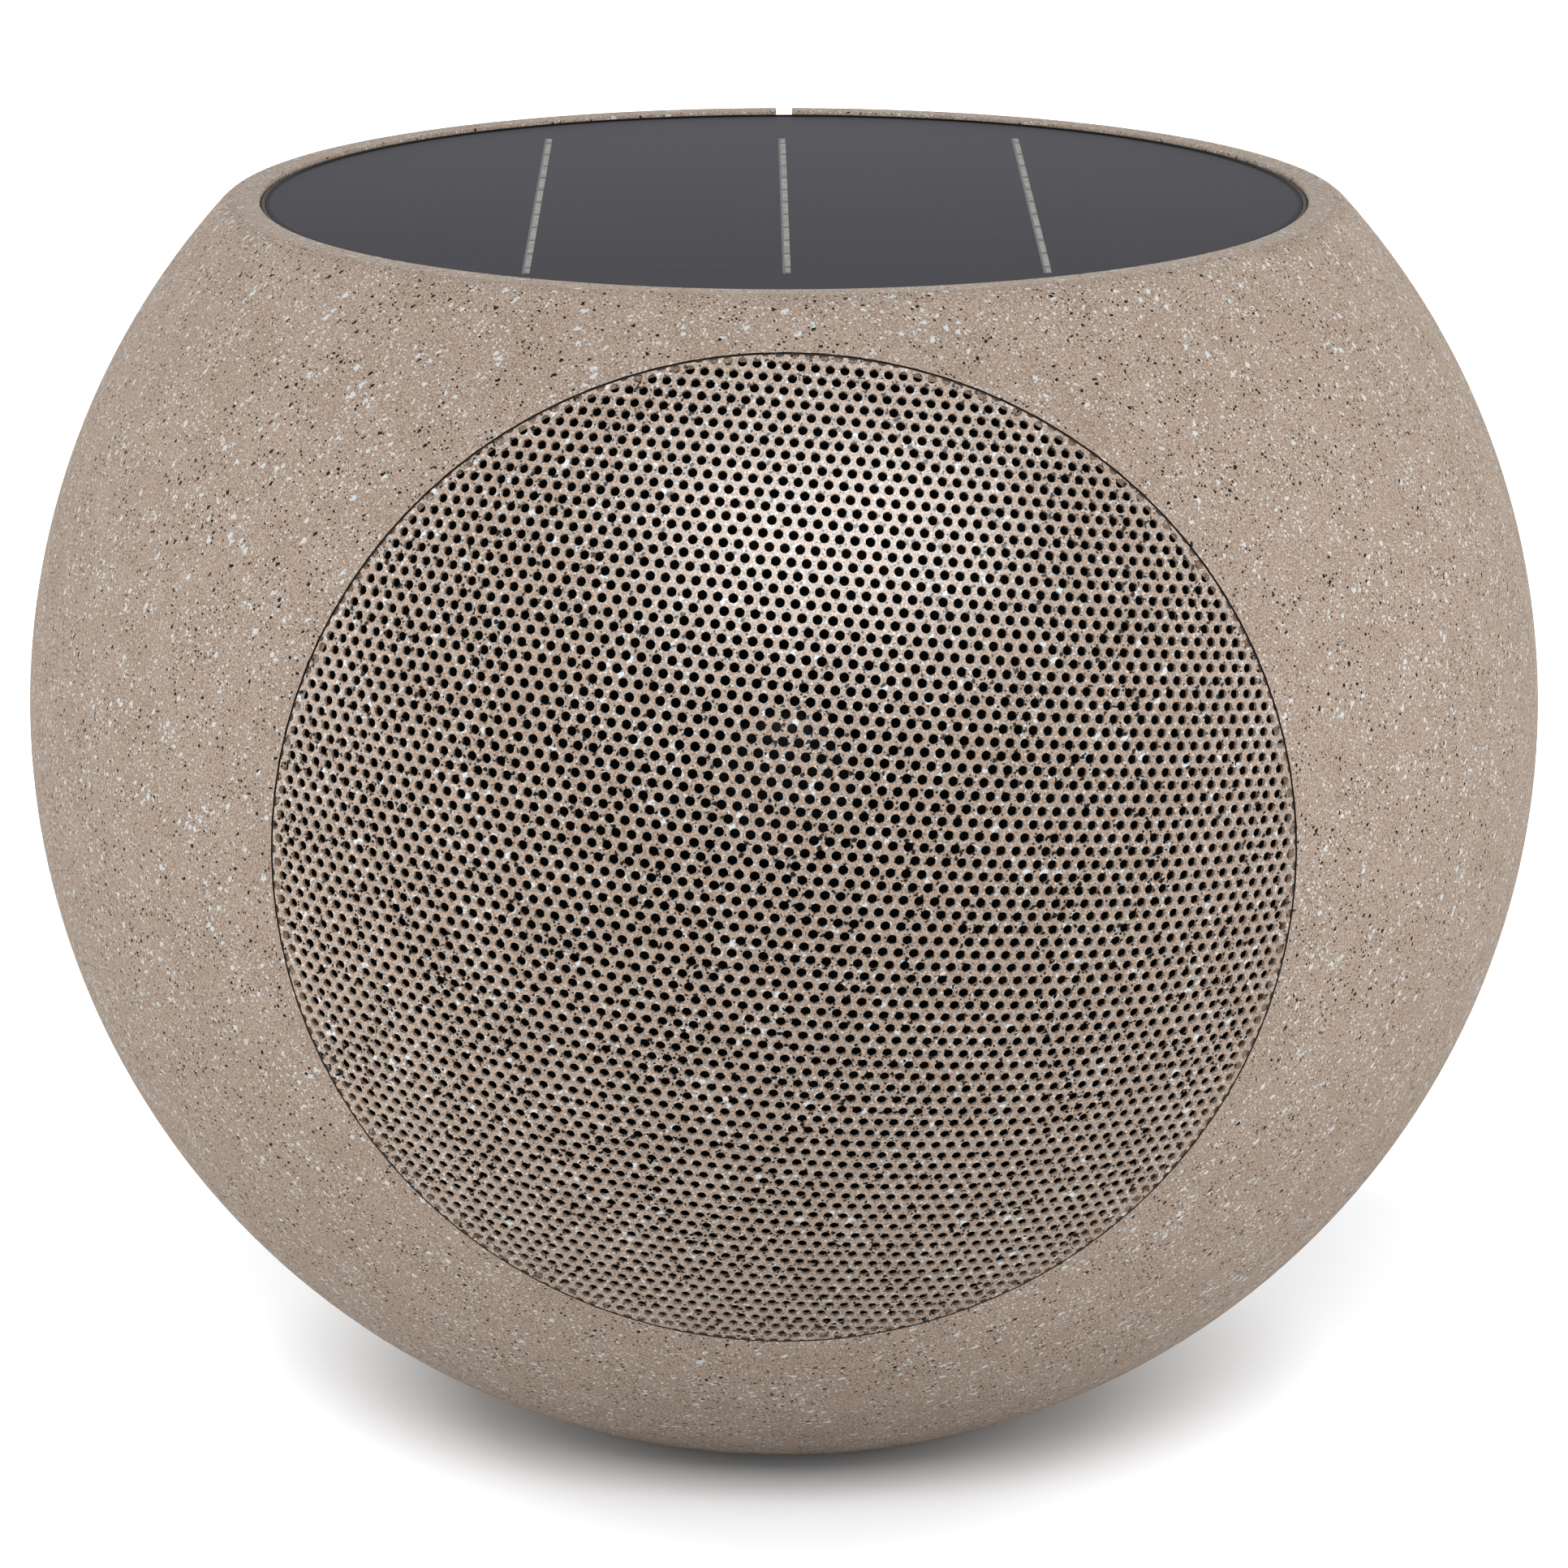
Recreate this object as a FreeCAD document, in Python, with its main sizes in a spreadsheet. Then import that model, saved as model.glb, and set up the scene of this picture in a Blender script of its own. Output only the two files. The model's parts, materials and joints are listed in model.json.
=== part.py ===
import FreeCAD, Part
import math
import os
import Sketcher
from types import SimpleNamespace

# A ball-shaped outdoor speaker that charges from the sun. The moulded ball is cut flat on top for a round
# solar panel and stands on a rubber ring. A perforated steel dome closes the front over one driver, and the
# controls sit in a recess at the back. Z is up, the front faces -Y, and the origin is on the ground.

# Driving sizes in millimetres. Everything else is worked out from them.
SIZES = {
    # ball-shaped body
    "ball_radius": 133.0,
    "wall": 4.0,
    "lip_height": 91.2,
    "lip_width": 5.8,
    "lip_round": 5.0,
    "edge_round": 0.5,
    "base_radius": 42.0,
    "floor_thick": 8.0,
    "notch_width": 3.0,
    # clearances shared by all fits
    "fit_gap": 0.3,
    "thread_gap": 0.1,
    "seal_thick": 1.0,
    "seal_inset": 1.0,
    # rubber ring under the ball
    "foot_proud": 1.2,
    "foot_sunk": 2.0,
    "foot_margin": 4.0,
    "foot_width": 9.0,
    # solar panel on top
    "panel_gap": 1.0,
    "panel_drop": 0.8,
    "panel_thick": 3.2,
    "ledge_width": 9.0,
    "ledge_thick": 4.0,
    "strip_spacing": 42.7,
    "strip_width": 1.3,
    "strip_thick": 0.3,
    "strip_front_margin": 7.5,
    "strip_back_margin": 19.3,
    "terminal_box_length": 24.0,
    "terminal_box_width": 14.0,
    "terminal_box_thick": 6.0,
    "terminal_box_back": 45.0,
    # perforated dome at the front
    "grille_margin": 8.2,
    "grille_sheet": 0.8,
    "grille_gap": 0.35,
    "skirt_depth": 9.0,
    "grille_hole_radius": 4.2,
    "grille_hole_margin": 5.0,
    # baffle cup that carries the driver
    "flange_thick": 6.0,
    "flange_width": 11.0,
    "baffle_rim_thick": 3.0,
    "cup_depth": 19.0,
    "cup_wall": 3.0,
    "cup_draft": 1.0,
    "boss_radius": 3.6,
    "boss_height": 6.0,
    # driver
    "driver_gap": 2.0,
    "driver_seat_width": 8.7,
    "frame_sheet": 2.0,
    "frame_rim": 10.0,
    "frame_step": 1.0,
    "basket_sheet": 1.8,
    "basket_depth": 32.0,
    "basket_ring_height": 5.0,
    "basket_ring_bore": 30.0,
    "basket_inset": 1.5,
    "window_margin": 3.0,
    "window_angle": 40.0,
    "surround_lip": 5.0,
    "surround_sheet": 0.8,
    "surround_roll": 4.2,
    "surround_drop": 4.0,
    "cone_land": 3.8,
    "cone_depth": 20.0,
    "cone_sheet": 1.0,
    "cap_radius": 17.5,
    "cap_height": 7.0,
    "cap_sheet": 0.6,
    "pole_radius": 12.0,
    "vent_radius": 4.0,
    "coil_gap": 0.5,
    "former_sheet": 0.4,
    "winding_thick": 0.5,
    "coil_overhang": 3.0,
    "plate_radius": 42.0,
    "plate_thick": 5.0,
    "magnet_overhang": 2.0,
    "magnet_bore": 20.0,
    "magnet_thick": 14.0,
    "yoke_thick": 6.0,
    "spider_sheet": 0.6,
    "spider_wave": 1.4,
    "lug_width": 18.0,
    "lug_reach": 8.0,
    "lug_sheet": 1.5,
    "terminal_thick": 1.6,
    # control recess at the back
    "pocket_depth": 10.0,
    "pocket_length": 66.0,
    "pocket_height": 30.0,
    "pocket_floor": 3.0,
    "control_thick": 3.0,
    "button_radius": 4.5,
    "button_spacing": 13.0,
    "button_raise": 5.5,
    "button_proud": 1.2,
    "button_flange": 1.4,
    "button_flange_thick": 1.2,
    "button_travel": 0.8,
    "button_stem": 2.0,
    "port_width": 18.0,
    "port_height": 8.5,
    "port_drop": 7.5,
    "port_shift": 7.0,
    "port_cover_thick": 1.5,
    "port_gap": 0.4,
    "port_bead": 0.8,
    "port_grip": 0.9,
    "socket_width": 9.0,
    "socket_height": 3.3,
    "light_radius": 1.5,
    "light_shift": 14.0,
    "control_screw_shift": 28.5,
    # circuit board behind the recess
    "post_height": 5.0,
    "post_radius": 3.0,
    "post_spread": 27.0,
    "post_rise": 12.0,
    "board_width": 62.0,
    "board_height": 34.0,
    "board_thick": 1.6,
    "switch_width": 6.0,
    "switch_height": 3.5,
    "plunger_radius": 1.7,
    "plunger_height": 0.8,
    "radio_width": 12.0,
    "radio_height": 16.0,
    "radio_thick": 2.4,
    "sink_width": 20.0,
    "sink_height": 14.0,
    "sink_base": 2.0,
    "sink_depth": 10.0,
    "sink_fin": 1.6,
    "capacitor_radius": 5.0,
    "capacitor_height": 14.0,
    "lead_socket_width": 6.0,
    "lead_socket_spacing": 9.0,
    "lead_socket_depth": 6.0,
    "lead_socket_height": 5.0,
    # batteries on the floor
    "cell_radius": 9.2,
    "cell_length": 65.0,
    "cell_spacing": 19.4,
    "tray_wall": 2.0,
    "tray_height": 11.0,
    "tab_length": 40.0,
    "tab_margin": 1.0,
    "tab_thick": 3.0,
    "strap_width": 12.0,
    "strap_thick": 1.5,
    # fasteners
    "screw_radius": 1.5,
    "screw_head_radius": 3.0,
    "screw_head_height": 2.0,
    "screw_bite": 5.0,
    "small_screw_radius": 1.1,
    "small_screw_head_radius": 2.2,
    "small_screw_head_height": 1.4,
    # two-core leads inside
    "lead_radius": 1.4,
}

doc = FreeCAD.newDocument("GardenSpeaker")
sheet = doc.addObject("Spreadsheet::Sheet", "Sizes")
for row, (name, number) in enumerate(SIZES.items(), start=1):
    sheet.set(f"A{row}", name)
    sheet.set(f"B{row}", str(number))
    sheet.setAlias(f"B{row}", name)
doc.recompute()


class Size:
    """A length that carries its sheet formula, for expressions, and its number, for first positions."""

    def __init__(self, text, number):
        self.text = text
        self.number = number

    def __add__(self, other):
        other = sized(other)
        return Size(f"({self.text} + {other.text})", self.number + other.number)

    def __sub__(self, other):
        other = sized(other)
        return Size(f"({self.text} - {other.text})", self.number - other.number)

    def __mul__(self, other):
        other = sized(other)
        return Size(f"({self.text} * {other.text})", self.number * other.number)

    def __truediv__(self, other):
        other = sized(other)
        return Size(f"({self.text} / {other.text})", self.number / other.number)

    def __radd__(self, other):
        return sized(other) + self

    def __rsub__(self, other):
        return sized(other) - self

    def __rmul__(self, other):
        return sized(other) * self

    def __neg__(self):
        return Size(f"(-1 * {self.text})", -self.number)


def sized(value):
    if isinstance(value, Size):
        return value
    return Size(f"({value})", float(value))


def leg(longest, other):
    """The third side of a right-angled triangle."""
    square = longest * longest - other * other
    return Size(f"sqrt({square.text})", math.sqrt(square.number))


dim = SimpleNamespace(**{name: Size(f"Sizes.{name}", float(sheet.get(name))) for name in SIZES})

# Levels and radii that several pieces share. Heights are above the ground, and front and back distances are
# measured from the ball's upright axis.
centre = dim.foot_proud + leg(dim.ball_radius, dim.base_radius)
lip_top = centre + dim.lip_height
panel_top = lip_top - dim.panel_drop
panel_under = panel_top - dim.panel_thick
ledge_top = panel_under - dim.seal_thick
ledge_under = ledge_top - dim.ledge_thick
floor_top = dim.foot_proud + dim.floor_thick
recess_radius = leg(dim.ball_radius, dim.lip_height) - dim.lip_width
panel_radius = recess_radius - dim.panel_gap
ledge_bore = recess_radius - dim.ledge_width
inner_radius = dim.ball_radius - dim.wall

grille_radius = dim.lip_height - dim.grille_margin
opening_radius = grille_radius + dim.grille_gap
grille_rim = leg(dim.ball_radius, grille_radius)
flange_front = grille_rim - dim.skirt_depth
flange_back = flange_front - dim.flange_thick
flange_bore = grille_radius - dim.flange_width

control_seat = dim.ball_radius - dim.pocket_depth
control_face = control_seat + dim.control_thick
pocket_inner = control_seat - dim.pocket_floor
board_face = pocket_inner - dim.post_height
board_inner = board_face - dim.board_thick

FORWARD = FreeCAD.Rotation(FreeCAD.Vector(1, 0, 0), 90)
BACKWARD = FreeCAD.Rotation(FreeCAD.Vector(1, 0, 0), -90)
UPRIGHT = FreeCAD.Rotation()
SIDEWAYS = FreeCAD.Rotation(FreeCAD.Vector(0, 1, 0), 90)

nodes = []


def node(thing, label):
    """Names a finished sub-part and puts it on the list of pieces to write."""
    thing.Label = label
    nodes.append(thing)
    return thing


def place(thing, turn=UPRIGHT, x=0, y=0, z=0):
    thing.Placement = FreeCAD.Placement(FreeCAD.Vector(0, 0, 0), turn)
    for axis, value in (("x", x), ("y", y), ("z", z)):
        thing.setExpression(f"Placement.Base.{axis}", sized(value).text)
    return thing


def facing_front(thing):
    return place(thing, FORWARD, z=centre)


def facing_back(thing, x=0, rise=0):
    return place(thing, BACKWARD, x=x, z=centre + rise)


def trace(sketch, outline):
    """Draws a closed outline. A third value on a corner makes the next edge an arc of that radius, with its
    centre on the left of the way round, or on the right where the radius is negative."""
    corners = [FreeCAD.Vector(sized(corner[0]).number, sized(corner[1]).number, 0) for corner in outline]
    ends = []
    for index, corner in enumerate(outline):
        start = corners[index]
        finish = corners[(index + 1) % len(corners)]
        if len(corner) == 2:
            sketch.addGeometry(Part.LineSegment(start, finish))
            ends.append((1, 2))
            continue
        reach = abs(corner[2].number)
        chord = finish - start
        middle = start + chord * 0.5
        aside = FreeCAD.Vector(-chord.y, chord.x, 0).normalize() * math.copysign(1, corner[2].number)
        hub = middle + aside * math.sqrt(max(reach ** 2 - chord.Length ** 2 / 4, 0))
        crown = hub - aside * reach
        if corner[2].number > 0:
            sketch.addGeometry(Part.Arc(start, crown, finish))
            ends.append((1, 2))
        else:
            sketch.addGeometry(Part.Arc(finish, crown, start))
            ends.append((2, 1))
    for index, corner in enumerate(outline):
        start = ends[index][0]
        before = (index - 1) % len(outline)
        sketch.addConstraint(Sketcher.Constraint("Coincident", before, ends[before][1], index, start))
        for kind, axis, value in (("DistanceX", -2, corner[0]), ("DistanceY", -1, corner[1])):
            if not isinstance(value, Size):
                sketch.addConstraint(Sketcher.Constraint("PointOnObject", index, start, axis))
                continue
            rule = sketch.addConstraint(Sketcher.Constraint(kind, -1, 1, index, start, value.number))
            sketch.setExpression(f"Constraints[{rule}]", value.text)
        if len(corner) == 3:
            radius = corner[2] if corner[2].number > 0 else -corner[2]
            rule = sketch.addConstraint(Sketcher.Constraint("Radius", index, radius.number))
            sketch.setExpression(f"Constraints[{rule}]", radius.text)


def origin_part(body, role):
    return next(part for part in body.Origin.OriginFeatures if part.Role == role)


def sketch_on(body, plane, outline, offset=0):
    sketch = body.newObject("Sketcher::SketchObject", f"{body.Name}_outline")
    sketch.AttachmentSupport = [(origin_part(body, plane), "")]
    sketch.MapMode = "FlatFace"
    sketch.setExpression("AttachmentOffset.Base.z", sized(offset).text)
    trace(sketch, outline)
    return sketch


def turned(name, outline):
    """A body turned about its own upright axis, from corners given as radius and height."""
    body = doc.addObject("PartDesign::Body", name)
    sketch = sketch_on(body, "XZ_Plane", outline)
    turn = body.newObject("PartDesign::Revolution", f"{name}_turn")
    turn.Profile = sketch
    turn.ReferenceAxis = (sketch, ["V_Axis"])
    turn.Angle = 360
    return body


def padded(name, plane, outline, length, offset=0, midplane=False):
    body = doc.addObject("PartDesign::Body", name)
    pad = body.newObject("PartDesign::Pad", f"{name}_pad")
    pad.Profile = sketch_on(body, plane, outline, offset)
    pad.setExpression("Length", length.text)
    if midplane:
        pad.SideType = "Symmetric"
    return body


def ring(inner, outer, low, high):
    return [(inner, low), (outer, low), (outer, high), (inner, high)]


def rod(name, radius, length, turn=UPRIGHT, x=0, y=0, z=0):
    cylinder = doc.addObject("Part::Cylinder", name)
    cylinder.setExpression("Radius", sized(radius).text)
    cylinder.setExpression("Height", sized(length).text)
    return place(cylinder, turn, x, y, z)


def block(name, x, y, z):
    """A box between two places along each axis."""
    box = doc.addObject("Part::Box", name)
    for prop, (low, high) in (("Length", x), ("Width", y), ("Height", z)):
        box.setExpression(prop, (high - low).text)
    return place(box, UPRIGHT, x[0], y[0], z[0])


def span(middle, width):
    return (middle - width / 2, middle + width / 2)


def joined(name, pieces):
    fuse = doc.addObject("Part::MultiFuse", name)
    fuse.Shapes = pieces
    return fuse


def cut(name, base, tools):
    result = doc.addObject("Part::Cut", name)
    result.Base = base
    result.Tool = tools[0] if len(tools) == 1 else joined(f"{name}_cutters", tools)
    return result


def around(radius, count, turn=0):
    """Evenly spaced places on a circle, as two lengths each."""
    places = []
    for index in range(count):
        angle = math.radians(turn + index * 360 / count)
        places.append((radius * round(math.cos(angle), 9), radius * round(math.sin(angle), 9)))
    return places


def group(label, solids, turn=UPRIGHT, height=0):
    """Like solids that share one node."""
    feature = doc.addObject("Part::Feature", label)
    feature.Shape = Part.makeCompound(solids)
    feature.Placement = FreeCAD.Placement(FreeCAD.Vector(0, 0, sized(height).number), turn)
    return node(feature, label)


def screw(x, y, under_head, length, radius, head_radius, head_height):
    """A pan-head screw that points along -Z, as a plain solid."""
    spot = FreeCAD.Vector(sized(x).number, sized(y).number, under_head.number)
    down = FreeCAD.Vector(0, 0, -1)
    head = Part.makeCylinder(head_radius.number, head_height.number, spot)
    shank = Part.makeCylinder(radius.number, length.number, spot, down)
    return head.fuse(shank).removeSplitter()


def large_screw(x, y, under_head, length):
    return screw(x, y, under_head, length, dim.screw_radius, dim.screw_head_radius, dim.screw_head_height)


def small_screw(x, y, under_head, length):
    return screw(
        x, y, under_head, length,
        dim.small_screw_radius, dim.small_screw_head_radius, dim.small_screw_head_height,
    )


def stadium(half_length, end_radius):
    """A slot outline with round ends, about the middle."""
    return [
        (-half_length, -end_radius),
        (half_length, -end_radius, end_radius),
        (half_length + end_radius, 0, end_radius),
        (half_length, end_radius),
        (-half_length, end_radius, end_radius),
        (-(half_length + end_radius), 0, end_radius),
    ]


# Body shell: the moulded ball with its lip, panel ledge, floor, front collar and rear recess in one piece.
round_centre_height = dim.lip_height - dim.lip_round
round_centre_radius = leg(dim.ball_radius - dim.lip_round, round_centre_height)
round_reach = dim.ball_radius / (dim.ball_radius - dim.lip_round)
foot_outer = dim.base_radius - dim.foot_margin
foot_inner = foot_outer - dim.foot_width
groove_top = dim.foot_proud + dim.foot_sunk
ball_outside = turned("ball_outside", [
    (0, dim.foot_proud),
    (foot_inner - dim.fit_gap, dim.foot_proud),
    (foot_inner - dim.fit_gap, groove_top),
    (foot_outer + dim.fit_gap, groove_top),
    (foot_outer + dim.fit_gap, dim.foot_proud),
    (dim.base_radius, dim.foot_proud, dim.ball_radius),
    (round_centre_radius * round_reach, centre + round_centre_height * round_reach, dim.lip_round),
    (round_centre_radius, lip_top),
    (recess_radius + dim.edge_round, lip_top, dim.edge_round),
    (recess_radius, lip_top - dim.edge_round),
    (recess_radius, ledge_top),
    (0, ledge_top),
])
ball_inside = turned("ball_inside", [
    (0, floor_top),
    (leg(inner_radius, centre - floor_top), floor_top, inner_radius),
    (leg(inner_radius, ledge_under - centre), ledge_under),
    (0, ledge_under),
])

# The collar round the grille, the boss round the rear recess and the board posts stand into the hollow.
collar_depth = dim.ball_radius - flange_back
collar = rod("collar", opening_radius + dim.wall, collar_depth, FORWARD, y=-flange_back, z=centre)
slot_half = (dim.pocket_length - dim.pocket_height) / 2
slot_end = dim.pocket_height / 2
boss_outline = stadium(slot_half, slot_end + dim.wall)
boss = facing_back(padded("boss", "XY_Plane", boss_outline, dim.ball_radius - pocket_inner, pocket_inner))
post_spots = [(side * dim.post_spread, up * dim.post_rise) for side in (-1, 1) for up in (-1, 1)]
post_length = dim.post_height + dim.pocket_floor / 2
posts = [
    rod("board_post", dim.post_radius, post_length, BACKWARD, x, board_face, centre + rise)
    for x, rise in post_spots
]
hollow = cut("hollow", ball_inside, [collar, boss] + posts)
shell_walls = cut("shell_walls", ball_outside, [hollow])

BUTTONS = ("link_button", "volume_up_button", "volume_down_button", "power_button")
middle_button = (len(BUTTONS) - 1) / 2
button_spots = [(index - middle_button) * dim.button_spacing for index in range(len(BUTTONS))]
button_flange_radius = dim.button_radius + dim.button_flange
pilot = dim.screw_radius + dim.thread_gap
small_pilot = dim.small_screw_radius + dim.thread_gap
socket_x = -dim.port_shift
port_rise = -dim.port_drop
baffle_rim_outer = grille_radius - dim.grille_sheet - dim.fit_gap
BAFFLE_SCREWS = 6
baffle_screw_spots = around((flange_bore + baffle_rim_outer) / 2, BAFFLE_SCREWS, 180 / BAFFLE_SCREWS)
tray_half_length = dim.cell_length / 2 + dim.fit_gap + dim.tray_wall
tray_half_width = dim.cell_spacing / 2 + dim.cell_radius + dim.fit_gap + dim.tray_wall
strap_inner = tray_half_width + dim.fit_gap
tab_line = strap_inner + dim.strap_thick + dim.fit_gap + dim.screw_head_radius
tab_edge = tab_line + dim.screw_head_radius + dim.tab_margin
tab_screw_x = dim.tab_length / 2 - dim.screw_head_radius - dim.tab_margin
tray_spots = [(side * tab_screw_x, end * tab_line) for side in (-1, 1) for end in (-1, 1)]
strap_spots = [(0, end * tab_line) for end in (-1, 1)]

past_ball = dim.ball_radius + dim.wall
bore_start = flange_back - dim.wall
socket_room = (dim.socket_width + 2 * dim.fit_gap, dim.socket_height + 2 * dim.fit_gap)
pocket_outline = stadium(slot_half, slot_end)
shell_cutters = [
    rod("ledge_bore", ledge_bore, dim.ledge_thick + 2 * dim.seal_thick, z=ledge_under - dim.seal_thick),
    rod("grille_opening", opening_radius, past_ball - flange_front, FORWARD, y=-flange_front, z=centre),
    rod("flange_bore", flange_bore, past_ball - bore_start, FORWARD, y=-bore_start, z=centre),
    block("drain_notch", span(sized(0), dim.notch_width), (recess_radius - dim.panel_gap, past_ball),
          (panel_top, lip_top + dim.wall)),
    facing_back(padded("pocket", "XY_Plane", pocket_outline, past_ball - control_seat, control_seat)),
    block("socket_slot", span(socket_x, socket_room[0]), (board_face, control_seat + dim.wall),
          span(centre + port_rise, socket_room[1])),
    rod("light_hole", dim.light_radius + dim.fit_gap, dim.wall + dim.pocket_floor, BACKWARD,
        dim.light_shift, pocket_inner - dim.wall / 2, centre + port_rise),
]
for x in button_spots:
    shell_cutters.append(rod("button_well", button_flange_radius + dim.fit_gap, dim.wall + dim.pocket_floor,
                             BACKWARD, x, pocket_inner - dim.wall / 2, centre + dim.button_raise))
for across, rise in baffle_screw_spots:
    shell_cutters.append(rod("baffle_pilot", pilot, dim.flange_thick + dim.wall, FORWARD,
                             across, -flange_back + dim.wall / 2, centre + rise))
for side in (-1, 1):
    shell_cutters.append(rod("control_pilot", small_pilot, dim.pocket_floor + dim.wall, BACKWARD,
                             side * dim.control_screw_shift, pocket_inner - dim.wall / 2, centre))
for x, rise in post_spots:
    shell_cutters.append(rod("post_pilot", small_pilot, dim.post_height, BACKWARD,
                             x, board_face, centre + rise))
for x, y in tray_spots + strap_spots:
    shell_cutters.append(rod("tray_pilot", pilot, dim.screw_bite, UPRIGHT, x, y, floor_top - dim.screw_bite))
node(cut("body_shell", shell_walls, shell_cutters), "body_shell")

# Rubber foot: a moulded ring pressed into the groove under the ball.
node(turned("rubber_foot", ring(foot_inner, foot_outer, sized(0), groove_top)), "rubber_foot")

# Solar panel: one laminated disc with three shallow grooves for its contact strips.
panel_disc = rod("panel_disc", panel_radius, dim.panel_thick, z=panel_under)
strip_reach = leg(panel_radius, dim.strip_spacing + dim.strip_width)
strip_ends = (dim.strip_front_margin - strip_reach, strip_reach - dim.strip_back_margin)
strip_level = panel_top - dim.strip_thick
grooves = [
    block("strip_groove", span(place_along * dim.strip_spacing, dim.strip_width), strip_ends,
          (strip_level, panel_top + dim.strip_thick))
    for place_along in (-1, 0, 1)
]
node(cut("solar_panel", panel_disc, grooves), "solar_panel")

# Contact strips: three flat ribbons that collect the current, let into the face of the panel.
strip_solids = []
for place_along in (-1, 0, 1):
    left = span(place_along * dim.strip_spacing, dim.strip_width)[0]
    corner = FreeCAD.Vector(left.number, strip_ends[0].number, strip_level.number)
    strip_length = (strip_ends[1] - strip_ends[0]).number
    strip_solids.append(Part.makeBox(dim.strip_width.number, strip_length, dim.strip_thick.number, corner))
group("panel_strips", strip_solids)

# Panel seal: a flat rubber ring between the panel and its ledge.
panel_seal = ring(ledge_bore + dim.seal_inset, panel_radius - dim.seal_inset, ledge_top, panel_under)
node(turned("panel_seal", panel_seal), "panel_seal")

# Terminal box under the panel, where its lead starts.
terminal_y = span(dim.terminal_box_back, dim.terminal_box_width)
terminal_box = block("terminal_box", span(sized(0), dim.terminal_box_length), terminal_y,
                     (panel_under - dim.terminal_box_thick, panel_under))
node(terminal_box, "panel_terminal_box")

# Grille: a steel dome drawn flush with the ball, with a straight skirt that stands on the collar's flange.
# Its fine perforation is shown by one centre hole and five rings of larger holes.
GRILLE_RINGS = 5
grille_inner = dim.ball_radius - dim.grille_sheet
skirt_inner = grille_radius - dim.grille_sheet
grille = facing_front(turned("grille", [
    (0, grille_inner),
    (0, dim.ball_radius, -dim.ball_radius),
    (grille_radius, grille_rim),
    (grille_radius, flange_front),
    (skirt_inner, flange_front),
    (skirt_inner, leg(grille_inner, skirt_inner), grille_inner),
]))
ring_pitch = (skirt_inner - dim.grille_hole_margin - dim.grille_hole_radius) / GRILLE_RINGS


def grille_hole(distance):
    sketch = grille.newObject("Sketcher::SketchObject", "grille_hole")
    sketch.AttachmentSupport = [(origin_part(grille, "XY_Plane"), "")]
    sketch.MapMode = "FlatFace"
    where = FreeCAD.Vector(sized(distance).number, 0, 0)
    sketch.addGeometry(Part.Circle(where, FreeCAD.Vector(0, 0, 1), dim.grille_hole_radius.number))
    rule = sketch.addConstraint(Sketcher.Constraint("Radius", 0, dim.grille_hole_radius.number))
    sketch.setExpression(f"Constraints[{rule}]", dim.grille_hole_radius.text)
    sketch.addConstraint(Sketcher.Constraint("PointOnObject", 0, 3, -1))
    rule = sketch.addConstraint(Sketcher.Constraint("DistanceX", -1, 1, 0, 3, where.x))
    sketch.setExpression(f"Constraints[{rule}]", sized(distance).text)
    hole = grille.newObject("PartDesign::Pocket", "grille_hole_pocket")
    hole.Profile = sketch
    hole.Reversed = True
    hole.Type = "ThroughAll"
    return hole


def polar_pattern(body, feature, count):
    pattern = body.newObject("PartDesign::PolarPattern", f"{feature.Name}_pattern")
    pattern.Originals = [feature]
    pattern.Axis = (origin_part(body, "Z_Axis"), [""])
    pattern.Angle = 360
    pattern.Occurrences = count
    body.Tip = pattern


doc.recompute()
grille_hole(0)
for ring_number in range(1, GRILLE_RINGS + 1):
    polar_pattern(grille, grille_hole(ring_number * ring_pitch), 6 * ring_number)
node(grille, "grille")

# Baffle seal: a flat rubber ring on the collar's flange, pierced for the screws.
baffle_back = flange_front + dim.seal_thick
baffle_front = baffle_back + dim.baffle_rim_thick
screw_hole = dim.screw_radius + dim.fit_gap


def screw_holes(spots, low, high):
    """Clearance holes along the front axis."""
    holes = []
    for across, rise in spots:
        holes.append(rod("screw_hole", screw_hole, high - low, FORWARD, across, -low, centre + rise))
    return holes


baffle_seal_ring = facing_front(turned("baffle_seal_ring", ring(
    flange_bore + dim.seal_inset, baffle_rim_outer - dim.seal_inset, flange_front, baffle_back)))
baffle_seal_holes = screw_holes(baffle_screw_spots, flange_front, baffle_back)
node(cut("baffle_seal", baffle_seal_ring, baffle_seal_holes), "baffle_seal")

# Front baffle: a moulded cup with a rim on the flange, and a floor with bosses that carries the driver.
cup_outer = flange_bore - dim.fit_gap
cup_inner = cup_outer - dim.cup_wall
driver_seat = baffle_front - dim.cup_depth
cup_back = driver_seat - dim.cup_wall
driver_radius = cup_inner - dim.cup_draft - dim.driver_gap
baffle_bore = driver_radius - dim.driver_seat_width
DRIVER_SCREWS = 4
driver_screw_spots = around((driver_radius + baffle_bore) / 2, DRIVER_SCREWS, 180 / DRIVER_SCREWS)
baffle_cup = facing_front(turned("baffle_cup", [
    (baffle_bore, cup_back),
    (cup_outer - dim.cup_draft, cup_back),
    (cup_outer, baffle_back),
    (baffle_rim_outer, baffle_back),
    (baffle_rim_outer, baffle_front),
    (cup_inner, baffle_front),
    (cup_inner - dim.cup_draft, driver_seat),
    (baffle_bore, driver_seat),
]))
boss_back = cup_back - dim.boss_height
baffle_bosses = [
    rod("driver_boss", dim.boss_radius, driver_seat - boss_back, FORWARD, across, -boss_back, centre + rise)
    for across, rise in driver_screw_spots
]
baffle_holes = screw_holes(baffle_screw_spots, baffle_back, baffle_front)
for across, rise in driver_screw_spots:
    baffle_holes.append(rod("driver_pilot", pilot, driver_seat - boss_back, FORWARD,
                            across, -boss_back, centre + rise))
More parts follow.
